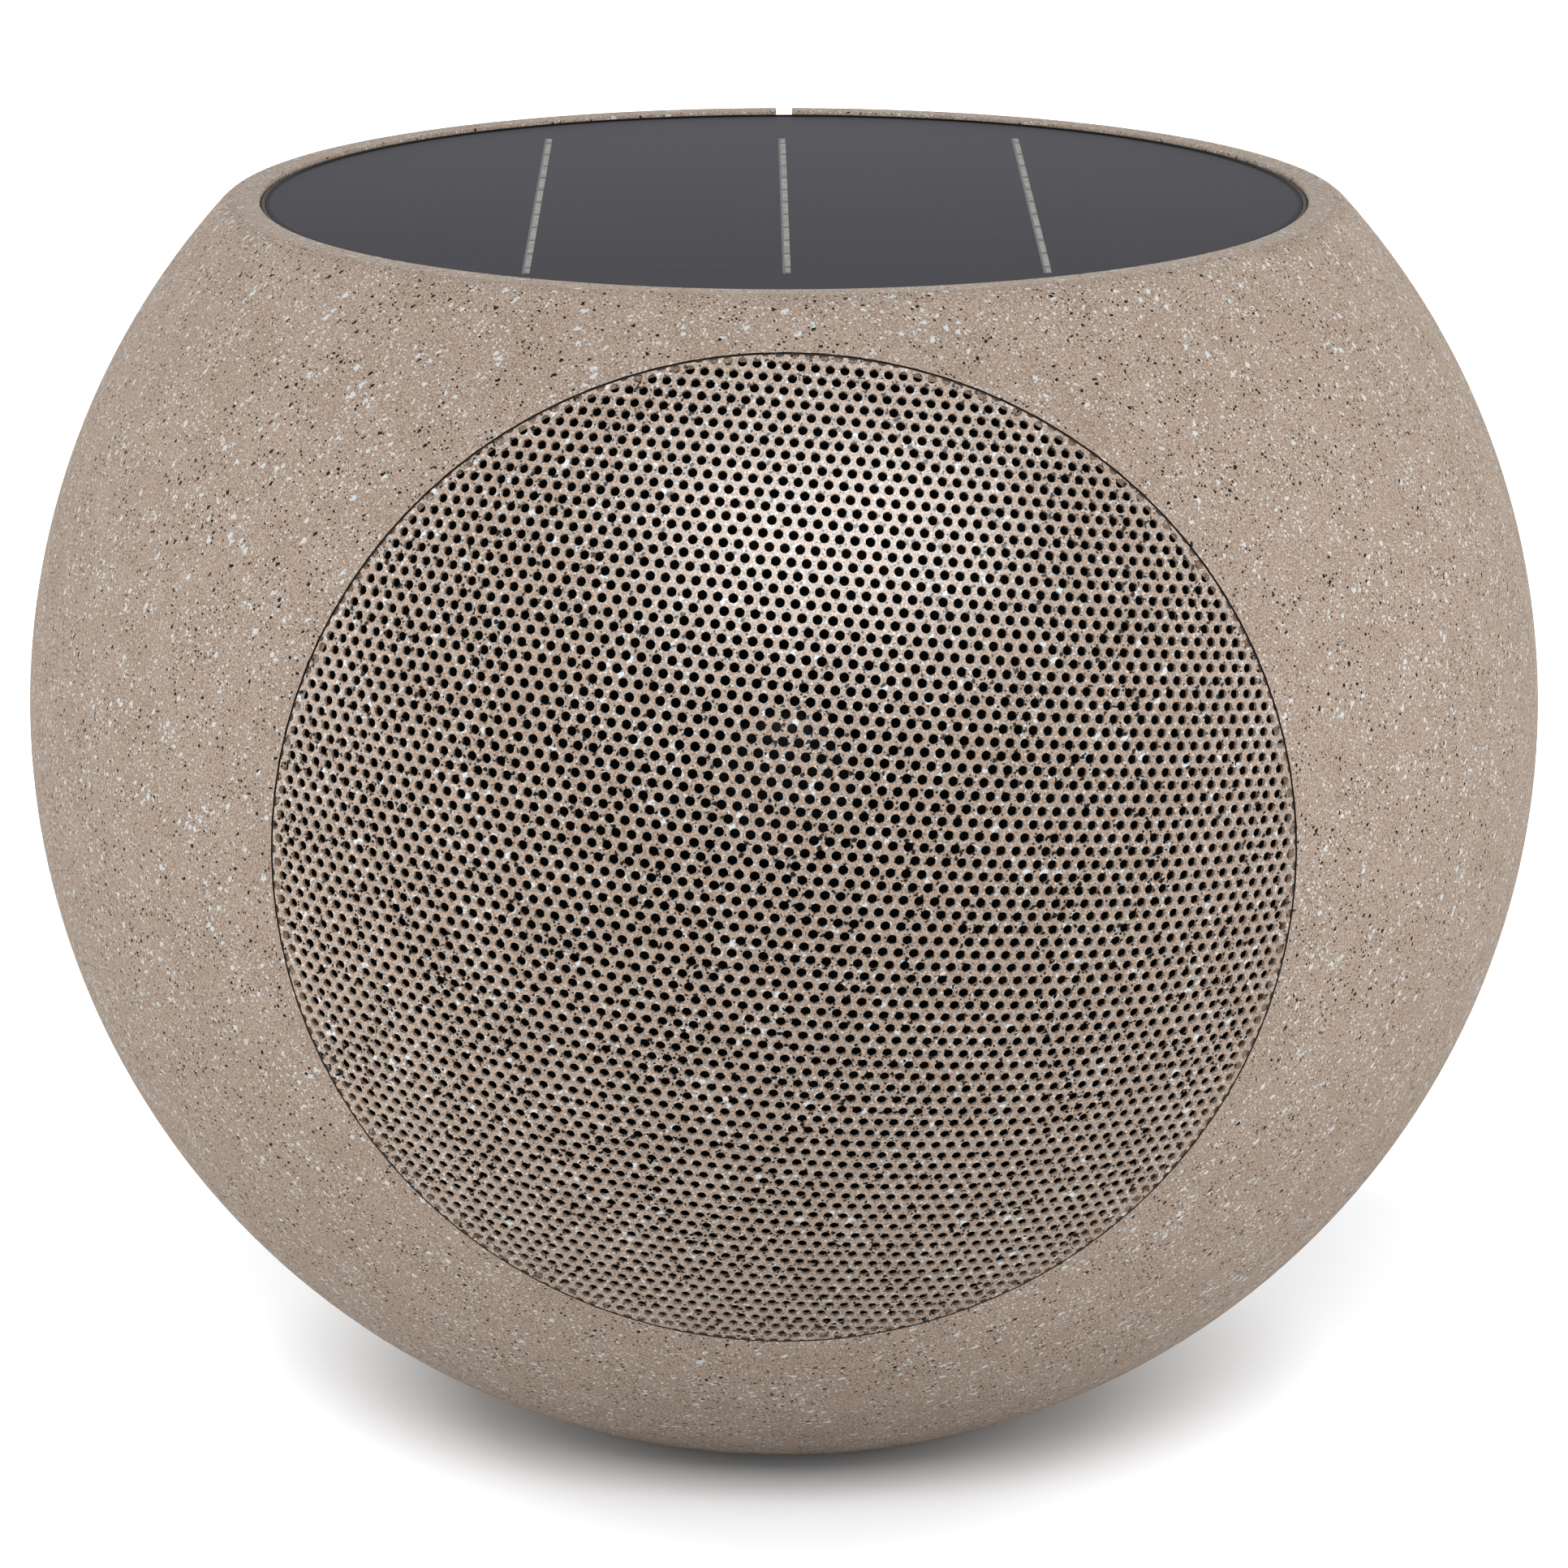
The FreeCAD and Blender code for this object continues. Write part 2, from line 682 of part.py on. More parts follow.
node(cut("front_baffle", joined("baffle_solid", [baffle_cup] + baffle_bosses), baffle_holes), "front_baffle")
baffle_screw_length = baffle_front - flange_back - dim.thread_gap
group("baffle_screws", [large_screw(x, y, baffle_front, baffle_screw_length) for x, y in baffle_screw_spots],
      FORWARD, centre)

# Driver seal under the driver's frame.
frame_back = driver_seat + dim.seal_thick
frame_front = frame_back + dim.frame_sheet
driver_seal_ring = facing_front(turned("driver_seal_ring", ring(
    baffle_bore + dim.seal_inset, driver_radius - dim.seal_inset, driver_seat, frame_back)))
driver_seal_holes = screw_holes(driver_screw_spots, driver_seat, frame_back)
node(cut("driver_seal", driver_seal_ring, driver_seal_holes), "driver_seal")

# Driver frame: a pressed steel basket with six windows, a shelf for the spider and a lug for the terminals.
lip_outer = driver_radius - dim.frame_rim
lip_seat = frame_front - dim.frame_step
basket_top = lip_outer - dim.surround_lip
plate_front = frame_front - dim.basket_depth
shelf = plate_front + dim.basket_ring_height
basket_base = dim.plate_radius - dim.basket_inset
basket = facing_front(turned("basket", [
    (dim.basket_ring_bore, plate_front),
    (basket_base, plate_front),
    (basket_top + dim.basket_sheet, frame_back),
    (driver_radius, frame_back),
    (driver_radius, frame_front),
    (lip_outer, frame_front),
    (lip_outer, lip_seat),
    (basket_top, lip_seat),
    (basket_base - dim.basket_sheet / 2, shelf),
    (dim.basket_ring_bore, shelf),
]))
doc.recompute()
window = basket.newObject("PartDesign::Groove", "basket_window")
window_sketch = sketch_on(basket, "XZ_Plane", ring(
    dim.basket_ring_bore, driver_radius, shelf + dim.window_margin, frame_back - dim.window_margin))
window.Profile = window_sketch
window.ReferenceAxis = (window_sketch, ["V_Axis"])
window.setExpression("Angle", dim.window_angle.text)
window.Midplane = True
BASKET_WINDOWS = 6
polar_pattern(basket, window, BASKET_WINDOWS)
magnet_radius = dim.plate_radius + dim.magnet_overhang
lug_line = magnet_radius + dim.fit_gap
lug = block("terminal_lug", span(sized(0), dim.lug_width), (-plate_front - dim.lug_sheet, -plate_front),
            (centre - lug_line - dim.lug_reach, centre - basket_base + dim.basket_sheet))
frame_solid = joined("frame_solid", [basket, lug])
frame_holes = screw_holes(driver_screw_spots, frame_back, frame_front)
node(cut("driver_frame", frame_solid, frame_holes), "driver_frame")
driver_screw_length = frame_front - boss_back - dim.thread_gap
group("driver_screws", [large_screw(x, y, frame_front, driver_screw_length) for x, y in driver_screw_spots],
      FORWARD, centre)

# Surround: the half-roll rubber edge that lets the cone travel.
roll_outer = basket_top - dim.fit_gap
roll_middle = roll_outer - dim.surround_roll
roll_inner = roll_middle - dim.surround_roll
lip_face = lip_seat + dim.surround_sheet
cone_rim = lip_seat - dim.surround_drop
cone_inner = roll_inner - dim.cone_land
inner_roll = dim.surround_roll - dim.surround_sheet
surround = facing_front(turned("surround", [
    (lip_outer - dim.fit_gap, lip_seat),
    (lip_outer - dim.fit_gap, lip_face),
    (roll_outer, lip_face, dim.surround_roll),
    (roll_middle, lip_face + dim.surround_roll, dim.surround_roll),
    (roll_inner, lip_face),
    (roll_inner, cone_rim + dim.surround_sheet),
    (cone_inner, cone_rim + dim.surround_sheet),
    (cone_inner, cone_rim),
    (roll_inner + dim.surround_sheet, cone_rim),
    (roll_inner + dim.surround_sheet, lip_face, -inner_roll),
    (roll_middle, lip_face + inner_roll, -inner_roll),
    (roll_outer - dim.surround_sheet, lip_face),
    (roll_outer - dim.surround_sheet, lip_seat),
]))
node(surround, "surround")

# Voice coil, cone and dust cap: the parts that travel together.
former_inner = dim.pole_radius + dim.coil_gap
former_outer = former_inner + dim.former_sheet
winding_outer = former_outer + dim.winding_thick
plate_back = plate_front - dim.plate_thick
cone_neck = cone_rim - dim.cone_depth
neck_radius = former_outer + dim.thread_gap
former_top = cone_neck + 2 * dim.cone_sheet
coil_back = plate_back - dim.coil_overhang
coil_top = plate_front + dim.coil_overhang
node(facing_front(turned("voice_coil", [
    (former_inner, coil_back),
    (winding_outer, coil_back),
    (winding_outer, coil_top),
    (former_outer, coil_top),
    (former_outer, former_top),
    (former_inner, former_top),
])), "voice_coil")

node(facing_front(turned("cone", [
    (neck_radius, cone_neck),
    (cone_inner, cone_rim - dim.cone_sheet),
    (roll_inner + dim.surround_sheet, cone_rim - dim.cone_sheet),
    (roll_inner + dim.surround_sheet, cone_rim),
    (cone_inner, cone_rim),
    (neck_radius, cone_neck + dim.cone_sheet),
])), "cone")

cone_slope = (dim.cone_depth - dim.cone_sheet) / (cone_inner - neck_radius)
cap_seat = cone_neck + dim.cone_sheet + (dim.cap_radius - neck_radius) * cone_slope + dim.thread_gap
cap_top = cap_seat + dim.cap_height


def cap_arc(radius, height):
    """The radius of the sphere through a cap's rim and top."""
    return (radius * radius + height * height) / (2 * height)


cap_inner = dim.cap_radius - dim.cap_sheet
node(facing_front(turned("dust_cap", [
    (0, cap_top - dim.cap_sheet),
    (0, cap_top, -cap_arc(dim.cap_radius, dim.cap_height)),
    (dim.cap_radius, cap_seat),
    (cap_inner, cap_seat, cap_arc(cap_inner, dim.cap_height - dim.cap_sheet)),
])), "dust_cap")

# Spider: the corrugated cloth ring that centres the coil.
SPIDER_WAVES = 6
spider_bore = winding_outer + dim.fit_gap
spider_edge = basket_base - dim.basket_sheet - dim.fit_gap
wave_start = dim.basket_ring_bore - dim.fit_gap
wave_pitch = (wave_start - spider_bore) / (SPIDER_WAVES + 1)
under_side = [(spider_bore, shelf - dim.spider_wave)]
for wave in range(SPIDER_WAVES):
    level = shelf if wave % 2 else shelf - dim.spider_wave
    under_side.append((spider_bore + (wave + 1) * wave_pitch, level))
under_side.append((wave_start, shelf))
under_side.append((spider_edge, shelf))
over_side = [(radius, level + dim.spider_sheet) for radius, level in reversed(under_side)]
node(facing_front(turned("spider", under_side + over_side)), "spider")

# Magnet system: front plate, ring magnet, and yoke with its pole, stacked behind the basket.
magnet_back = plate_back - dim.magnet_thick
yoke_back = magnet_back - dim.yoke_thick
node(facing_front(turned("front_plate", ring(
    winding_outer + dim.coil_gap, dim.plate_radius, plate_back, plate_front))), "front_plate")
node(facing_front(turned("magnet", ring(
    dim.magnet_bore, magnet_radius, magnet_back, plate_back))), "magnet")
node(facing_front(turned("yoke", [
    (dim.vent_radius, yoke_back),
    (dim.plate_radius, yoke_back),
    (dim.plate_radius, magnet_back),
    (dim.pole_radius, magnet_back),
    (dim.pole_radius, plate_front),
    (dim.vent_radius, plate_front),
])), "yoke")

# Terminal strip on the back of the basket's lug.
terminal_strip = block("terminal_strip", span(sized(0), dim.lug_width),
                       (-plate_front, dim.terminal_thick - plate_front),
                       (centre - lug_line - dim.lug_reach, centre - lug_line))
node(terminal_strip, "terminal_strip")

# Control panel: a moulded insert in the rear recess, with holes for the buttons, the port and the light.
panel_end = slot_end - dim.fit_gap
control_plate = facing_back(padded(
    "control_plate", "XY_Plane", stadium(slot_half, panel_end), dim.control_thick, control_seat))
flange_room = dim.button_flange_thick + dim.fit_gap
port_hinge = centre + port_rise - dim.port_height / 2
port_x = span(socket_x, dim.port_width)
port_room = (port_x[0] - dim.fit_gap, port_x[1] + dim.fit_gap)
port_floor = control_face - dim.port_cover_thick - dim.fit_gap
head_room = dim.small_screw_head_radius + dim.fit_gap
head_seat = control_face - dim.small_screw_head_height
control_cutters = [
    block("port_recess", port_room, (port_floor, control_face + dim.wall),
          (port_hinge - dim.fit_gap, port_hinge + dim.port_height + dim.port_gap)),
    rod("hinge_groove", dim.port_bead + dim.fit_gap, port_room[1] - port_room[0], SIDEWAYS,
        port_room[0], control_face, port_hinge),
    block("port_slot", span(socket_x, socket_room[0]), (control_seat - dim.wall, control_face),
          span(centre + port_rise, socket_room[1])),
    rod("light_window", dim.light_radius + dim.fit_gap, dim.control_thick + dim.wall, BACKWARD,
        dim.light_shift, control_seat - dim.wall / 2, centre + port_rise),
]
for x in button_spots:
    control_cutters.append(rod("button_hole", dim.button_radius + dim.fit_gap, dim.control_thick + dim.wall,
                               BACKWARD, x, control_seat - dim.wall / 2, centre + dim.button_raise))
    control_cutters.append(rod("button_counterbore", button_flange_radius + dim.fit_gap,
                               flange_room + dim.wall, BACKWARD,
                               x, control_seat - dim.wall, centre + dim.button_raise))
for side in (-1, 1):
    control_cutters.append(rod("control_screw_hole", dim.small_screw_radius + dim.fit_gap,
                               dim.control_thick + dim.wall, BACKWARD, side * dim.control_screw_shift,
                               control_seat - dim.wall / 2, centre))
    control_cutters.append(rod("screw_head_seat", head_room, dim.wall, BACKWARD,
                               side * dim.control_screw_shift, head_seat, centre))
node(cut("control_panel", control_plate, control_cutters), "control_panel")
control_screw_length = head_seat - pocket_inner - dim.thread_gap
group("control_screws",
      [small_screw(side * dim.control_screw_shift, 0, head_seat, control_screw_length) for side in (-1, 1)],
      BACKWARD, centre)

# Four push buttons: a round cap, a flange that holds it behind the panel, and a stem over its switch.
flange_face = control_seat + flange_room - dim.fit_gap
flange_rear = flange_face - dim.button_flange_thick
switch_top = board_face + dim.switch_height + dim.plunger_height
stem_end = switch_top + dim.button_travel + dim.fit_gap
button_top = control_face + dim.button_proud
button_dome = dim.button_proud / 2
for name, x in zip(BUTTONS, button_spots):
    button = turned(name, [
        (0, stem_end),
        (dim.button_stem, stem_end),
        (dim.button_stem, flange_rear),
        (button_flange_radius, flange_rear),
        (button_flange_radius, flange_face),
        (dim.button_radius, flange_face),
        (dim.button_radius, button_top - button_dome, cap_arc(dim.button_radius, button_dome)),
        (0, button_top),
    ])
    node(facing_back(button, x, dim.button_raise), name)

# Port cover: a rubber flap with a bead along its lower edge, which turns in the panel's groove.
cover_flap = block("cover_flap", port_x, (control_face - dim.port_cover_thick, control_face),
                   (port_hinge, port_hinge + dim.port_height))
cover_bead = rod("cover_bead", dim.port_bead, dim.port_width, SIDEWAYS, port_x[0], control_face, port_hinge)
grip_x = span(socket_x, dim.port_width / 3)
cover_grip = rod("cover_grip", dim.port_grip, dim.port_width / 3, SIDEWAYS, grip_x[0], control_face,
                 port_hinge + dim.port_height - dim.port_grip)
node(joined("port_cover", [cover_flap, cover_bead, cover_grip]), "port_cover")

# Charging socket and status light, both standing on the board.
socket_block = block("socket_block", span(socket_x, dim.socket_width), (board_face, port_floor - dim.fit_gap),
                     span(centre + port_rise, dim.socket_height))
socket_mouth = block("socket_mouth", span(socket_x, dim.socket_width - dim.board_thick),
                     (control_seat - dim.wall, control_face),
                     span(centre + port_rise, dim.socket_height - dim.board_thick / 2))
node(cut("charge_socket", socket_block, [socket_mouth]), "charge_socket")
status_light = rod("status_light", dim.light_radius, control_face - board_face, BACKWARD,
                   dim.light_shift, board_face, centre + port_rise)
node(status_light, "status_light")

# Main board on its four posts, with the switches on the outer side and the other parts on the inner side.
board_plate = block("board_plate", span(sized(0), dim.board_width), (board_inner, board_face),
                    span(centre, dim.board_height))
board_hole = dim.small_screw_radius + dim.fit_gap
board_holes = [
    rod("board_hole", board_hole, dim.board_thick, BACKWARD, x, board_inner, centre + rise)
    for x, rise in post_spots
]
node(cut("main_board", board_plate, board_holes), "main_board")

switch_solids = []
for x in button_spots:
    half = dim.switch_width.number / 2
    corner = FreeCAD.Vector(x.number - half, -dim.button_raise.number - half, board_face.number)
    base = Part.makeBox(2 * half, 2 * half, dim.switch_height.number, corner)
    spot = FreeCAD.Vector(x.number, -dim.button_raise.number, board_face.number)
    reach = dim.switch_height.number + dim.plunger_height.number
    switch_solids.append(base.fuse(Part.makeCylinder(dim.plunger_radius.number, reach, spot)))
group("switches", switch_solids, BACKWARD, centre)

board_screw_length = dim.board_thick + dim.post_height - dim.thread_gap
group("board_screws",
      [small_screw(x, rise, -board_inner, board_screw_length) for x, rise in post_spots], FORWARD, centre)

radio_middle = (dim.post_spread + dim.sink_width / 2) / 2
radio_module = block("radio_module", span(radio_middle, dim.radio_width),
                     (board_inner - dim.radio_thick, board_inner), span(centre, dim.radio_height))
node(radio_module, "radio_module")

SINK_FINS = 5
sink_middle = centre + dim.board_height / 2 - dim.sink_height / 2 - dim.post_radius / 2
sink_pitch = (dim.sink_width - dim.sink_fin) / (SINK_FINS - 1)
sink_outline = [(-dim.sink_width / 2, 0)]
for fin in range(SINK_FINS):
    left = fin * sink_pitch - dim.sink_width / 2
    sink_outline.append((left, -dim.sink_depth))
    sink_outline.append((left + dim.sink_fin, -dim.sink_depth))
    if fin < SINK_FINS - 1:
        sink_outline.append((left + dim.sink_fin, -dim.sink_base))
        sink_outline.append((left + sink_pitch, -dim.sink_base))
sink_outline.append((dim.sink_width / 2, 0))
heat_sink = padded("heat_sink", "XY_Plane", sink_outline, dim.sink_height)
node(place(heat_sink, UPRIGHT, 0, board_inner, sink_middle - dim.sink_height / 2), "heat_sink")

capacitor_x = -(dim.sink_width / 2 + dim.capacitor_radius + dim.lead_socket_depth / 2)
capacitor_solids = []
for side in (-1, 1):
    rise = side * (dim.capacitor_radius + dim.fit_gap)
    spot = FreeCAD.Vector(capacitor_x.number, rise.number, -board_inner.number)
    capacitor_solids.append(Part.makeCylinder(dim.capacitor_radius.number, dim.capacitor_height.number, spot))
group("capacitors", capacitor_solids, FORWARD, centre)

socket_line = centre - dim.board_height / 2 + dim.lead_socket_height
lead_socket_spots = [place_along * dim.lead_socket_spacing for place_along in (-1, 0, 1)]
lead_socket_solids = []
for x in lead_socket_spots:
    corner = FreeCAD.Vector((x - dim.lead_socket_width / 2).number,
                            (socket_line - centre - dim.lead_socket_height / 2).number, -board_inner.number)
    lead_socket_solids.append(Part.makeBox(dim.lead_socket_width.number, dim.lead_socket_height.number,
                                           dim.lead_socket_depth.number, corner))
group("lead_sockets", lead_socket_solids, FORWARD, centre)

# Battery tray on the floor, two cells in it, and a strap over them.
tray_low = floor_top + dim.tab_thick
cell_level = tray_low + dim.cell_radius + dim.fit_gap
tray_box = block("tray_box", span(sized(0), 2 * tray_half_length), span(sized(0), 2 * tray_half_width),
                 (floor_top, floor_top + dim.tray_height))
tray_tabs = block("tray_tabs", span(sized(0), dim.tab_length), span(sized(0), 2 * tab_edge),
                  (floor_top, tray_low))
cell_lines = [side * dim.cell_spacing / 2 for side in (-1, 1)]
cell_room = dim.cell_radius + dim.fit_gap
tray_cutters = []
for y in cell_lines:
    tray_cutters.append(rod("cell_room", cell_room, dim.cell_length + 2 * dim.fit_gap, SIDEWAYS,
                            -(dim.cell_length / 2 + dim.fit_gap), y, cell_level))
for x, y in tray_spots + strap_spots:
    tray_cutters.append(rod("tray_hole", screw_hole, dim.tab_thick, UPRIGHT, x, y, floor_top))
node(cut("battery_tray", joined("tray_solid", [tray_box, tray_tabs]), tray_cutters), "battery_tray")
group("battery_cells", [
    Part.makeCylinder(dim.cell_radius.number, dim.cell_length.number,
                      FreeCAD.Vector(-dim.cell_length.number / 2, y.number, cell_level.number),
                      FreeCAD.Vector(1, 0, 0))
    for y in cell_lines
])
tray_screw_length = dim.tab_thick + dim.screw_bite - dim.fit_gap
group("tray_screws", [large_screw(x, y, tray_low, tray_screw_length) for x, y in tray_spots])

strap_low = tray_low + dim.strap_thick
strap_under = cell_level + dim.cell_radius + dim.fit_gap
strap_top = strap_under + dim.strap_thick
strap_band = padded("strap_band", "YZ_Plane", [
    (strap_inner, tray_low),
    (tab_edge, tray_low),
    (tab_edge, strap_low),
    (strap_inner + dim.strap_thick, strap_low),
    (strap_inner + dim.strap_thick, strap_top),
    (-(strap_inner + dim.strap_thick), strap_top),
    (-(strap_inner + dim.strap_thick), strap_low),
    (-tab_edge, strap_low),
    (-tab_edge, tray_low),
    (-strap_inner, tray_low),
    (-strap_inner, strap_under),
    (strap_inner, strap_under),
], dim.strap_width, midplane=True)
strap_holes = [rod("strap_hole", screw_hole, dim.strap_thick, x=x, y=y, z=tray_low) for x, y in strap_spots]
node(cut("battery_strap", strap_band, strap_holes), "battery_strap")
strap_screw_length = tray_screw_length + dim.strap_thick
group("strap_screws", [large_screw(x, y, strap_low, strap_screw_length) for x, y in strap_spots])

# Leads inside the ball, from the sockets on the board to the driver, the cells and the solar panel. Each is a
# round tube whose straight runs are joined by arcs as large as the runs allow.
RUN_SHARE = 0.45


def lead(label, route):
    points = [FreeCAD.Vector(*point) for point in route]
    edges = []
    last = points[0]
    for before, corner, after in zip(points, points[1:], points[2:]):
        run_in = corner - before
        run_out = after - corner
        turn = run_in.getAngle(run_out)
        trim = RUN_SHARE * min(run_in.Length, run_out.Length)
        radius = trim / math.tan(turn / 2)
        arc_start = corner - run_in.normalize() * trim
        arc_end = corner + run_out.normalize() * trim
        inwards = ((arc_start + arc_end) * 0.5 - corner).normalize()
        arc_middle = corner + inwards * (radius / math.cos(turn / 2) - radius)
        edges.append(Part.LineSegment(last, arc_start).toShape())
        edges.append(Part.Arc(arc_start, arc_middle, arc_end).toShape())
        print(f"{label}: bend of radius {radius:.1f}")
        last = arc_end
    edges.append(Part.LineSegment(last, points[-1]).toShape())
    path = Part.Wire(edges)
    section = Part.Wire(Part.Circle(points[0], points[1] - points[0], dim.lead_radius.number).toShape())
    tube = path.makePipeShell([section], True, False)
    expected = math.pi * dim.lead_radius.number ** 2 * path.Length
    if abs(tube.Volume - expected) > 0.01 * expected:
        raise RuntimeError(f"{label} has the wrong volume")
    feature = doc.addObject("Part::Feature", label)
    feature.Shape = tube
    feature.Placement = FreeCAD.Placement()
    return node(feature, label)


lead_start = (board_inner - dim.lead_socket_depth).number
lead_level = socket_line.number
terminal_level = (centre - lug_line - dim.lug_reach / 2).number
battery_x, speaker_x, panel_x = [x.number for x in lead_socket_spots]
lead("battery_lead", [
    (battery_x, lead_start, lead_level),
    (battery_x, 94, lead_level),
    (-13, 80, 98),
    (-20, 60, 74),
    (-24, 34, 58),
    (-25, cell_lines[1].number, 50),
    (-25, cell_lines[1].number, (cell_level + dim.cell_radius).number),
])
lead("speaker_lead", [
    (speaker_x, lead_start, lead_level),
    (speaker_x, 85, lead_level),
    (4, 55, 98),
    (0, 20, 82),
    (0, -15, terminal_level),
    (0, (dim.terminal_thick - plate_front).number, terminal_level),
])
lead("panel_lead", [
    (panel_x, lead_start, lead_level),
    (panel_x, 92, lead_level),
    (14, 74, 134),
    (14, 58, 160),
    (6, dim.terminal_box_back.number, 186),
    (6, dim.terminal_box_back.number, (panel_under - dim.terminal_box_thick).number),
])

doc.recompute()
for thing in doc.Objects:
    if "Invalid" in thing.State or "Error" in thing.State:
        raise RuntimeError(f"{thing.Label} did not build: {thing.State}")
for thing in nodes:
    if thing.Shape.isNull() or not thing.Shape.isValid():
        raise RuntimeError(f"{thing.Label} has no valid shape")

os.makedirs("parts", exist_ok=True)
for thing in nodes:
    thing.Shape.exportStep(os.path.join("parts", f"{thing.Label}.step"))
    print(f"{thing.Label}: {len(thing.Shape.Solids)} solids, {thing.Shape.Volume / 1000:.2f} cm3")
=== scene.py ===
import json
import math

import bmesh
import bpy
import numpy as np
from mathutils import Matrix, Vector

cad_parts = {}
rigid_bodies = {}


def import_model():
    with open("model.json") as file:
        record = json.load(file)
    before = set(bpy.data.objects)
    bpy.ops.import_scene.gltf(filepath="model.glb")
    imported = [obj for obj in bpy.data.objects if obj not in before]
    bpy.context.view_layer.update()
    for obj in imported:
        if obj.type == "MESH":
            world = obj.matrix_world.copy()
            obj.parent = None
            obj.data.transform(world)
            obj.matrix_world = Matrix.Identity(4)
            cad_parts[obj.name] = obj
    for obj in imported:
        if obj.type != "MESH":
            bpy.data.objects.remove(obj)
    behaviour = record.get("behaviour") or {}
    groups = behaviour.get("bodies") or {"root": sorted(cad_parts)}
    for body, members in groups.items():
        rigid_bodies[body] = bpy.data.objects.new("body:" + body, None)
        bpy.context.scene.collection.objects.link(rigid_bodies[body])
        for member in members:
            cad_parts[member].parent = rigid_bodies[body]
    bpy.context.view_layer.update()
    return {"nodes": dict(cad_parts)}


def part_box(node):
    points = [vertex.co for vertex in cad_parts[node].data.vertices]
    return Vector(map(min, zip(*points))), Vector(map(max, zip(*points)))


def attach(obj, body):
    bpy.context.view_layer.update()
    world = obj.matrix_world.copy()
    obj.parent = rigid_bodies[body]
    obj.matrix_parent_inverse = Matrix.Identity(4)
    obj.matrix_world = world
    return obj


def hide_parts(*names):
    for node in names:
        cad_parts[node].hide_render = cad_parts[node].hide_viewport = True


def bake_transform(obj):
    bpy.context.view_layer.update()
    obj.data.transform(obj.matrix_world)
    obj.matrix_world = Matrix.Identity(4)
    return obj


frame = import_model()
cad = frame["nodes"]
MM = 0.001

# Body shell: the moulded ball of the speaker, cut flat for the panel, in a warm grey plastic filled with dark
# and white chips so that it looks like stone. The lip, the collar round the grille and the rear recess are
# one moulding.
grille_low, grille_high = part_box("grille")
grille_radius = (grille_high.x - grille_low.x) / 2
ball_centre = Vector((0, 0, (grille_low.z + grille_high.z) / 2))
ball_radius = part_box("body_shell")[1].x
CREASE = math.radians(30)
ON_BALL = 0.02 * MM


def linear(red, green, blue):
    """A colour written as it looks on screen, from 0 to 255, for a shader."""
    parts = []
    for part in (red, green, blue):
        share = part / 255
        parts.append(share / 12.92 if share <= 0.04045 else ((share + 0.055) / 1.055) ** 2.4)
    return (*parts, 1)


def new_piece(name, mesh, material):
    piece = bpy.data.objects.new(name, mesh)
    bpy.context.scene.collection.objects.link(piece)
    mesh.materials.clear()
    mesh.materials.append(material)
    return piece


def smooth_copy(node, on_ball=False):
    """A copy of a CAD node with its triangles joined and its round faces shaded smooth. On the ball's own
    surface the triangles are also halved, and their new corners set out on the ball."""
    work = bmesh.new()
    work.from_mesh(cad[node].data)
    bmesh.ops.remove_doubles(work, verts=work.verts, dist=1e-6)

    def on_surface(face):
        return all(abs((vert.co - ball_centre).length - ball_radius) < ON_BALL for vert in face.verts)

    if on_ball:
        inside = [edge for edge in work.edges if all(on_surface(face) for face in edge.link_faces)]
        halved = bmesh.ops.subdivide_edges(work, edges=inside, cuts=1, use_grid_fill=True)
        for vert in halved["geom_inner"]:
            if isinstance(vert, bmesh.types.BMVert):
                vert.co = ball_centre + (vert.co - ball_centre).normalized() * ball_radius
    for edge in work.edges:
        edge.smooth = len(edge.link_faces) == 2 and edge.calc_face_angle(0) < CREASE
    for face in work.faces:
        face.smooth = True
    mesh = bpy.data.meshes.new(node)
    work.to_mesh(mesh)
    work.free()
    return mesh


def round_normals(mesh, chosen):
    """Shades the chosen faces as parts of the ball, so that no facet shows on it."""
    count = len(mesh.loops)
    corners = np.zeros(count, int)
    mesh.loops.foreach_get("vertex_index", corners)
    places = np.zeros(len(mesh.vertices) * 3)
    mesh.vertices.foreach_get("co", places)
    outward = places.reshape(-1, 3) - np.array(ball_centre)
    outward /= np.linalg.norm(outward, axis=1)[:, None]
    normals = np.zeros(count * 3)
    mesh.corner_normals.foreach_get("vector", normals)
    normals = normals.reshape(-1, 3)
    starts = np.zeros(len(mesh.polygons), int)
    totals = np.zeros(len(mesh.polygons), int)
    mesh.polygons.foreach_get("loop_start", starts)
    mesh.polygons.foreach_get("loop_total", totals)
    owner = np.repeat(np.arange(len(totals)), totals)
    picked = chosen(places.reshape(-1, 3), corners, starts)[owner]
    normals[picked] = outward[corners[picked]]
    mesh.normals_split_custom_set(normals.tolist())


def new_material(name, colour, roughness):
    material = bpy.data.materials.new(name)
    material.use_nodes = True
    shader = material.node_tree.nodes["Principled BSDF"]
    shader.inputs["Base Color"].default_value = linear(*colour)
    shader.inputs["Roughness"].default_value = roughness
    return material, material.node_tree, shader


def math_node(tree, operation, first, second):
    node = tree.nodes.new("ShaderNodeMath")
    node.operation = operation
    for socket, value in zip(node.inputs, (first, second)):
        if isinstance(value, (int, float)):
            socket.default_value = value
        else:
            tree.links.new(value, socket)
    return node.outputs[0]


def mixed(tree, share, first, second):
    """One colour over another. Each is a colour or a socket."""
    node = tree.nodes.new("ShaderNodeMix")
    node.data_type = "RGBA"
    for socket, value in ((node.inputs[0], share), (node.inputs[6], first), (node.inputs[7], second)):
        if isinstance(value, (tuple, float)):
            socket.default_value = value
        else:
            tree.links.new(value, socket)
    return node.outputs[2]


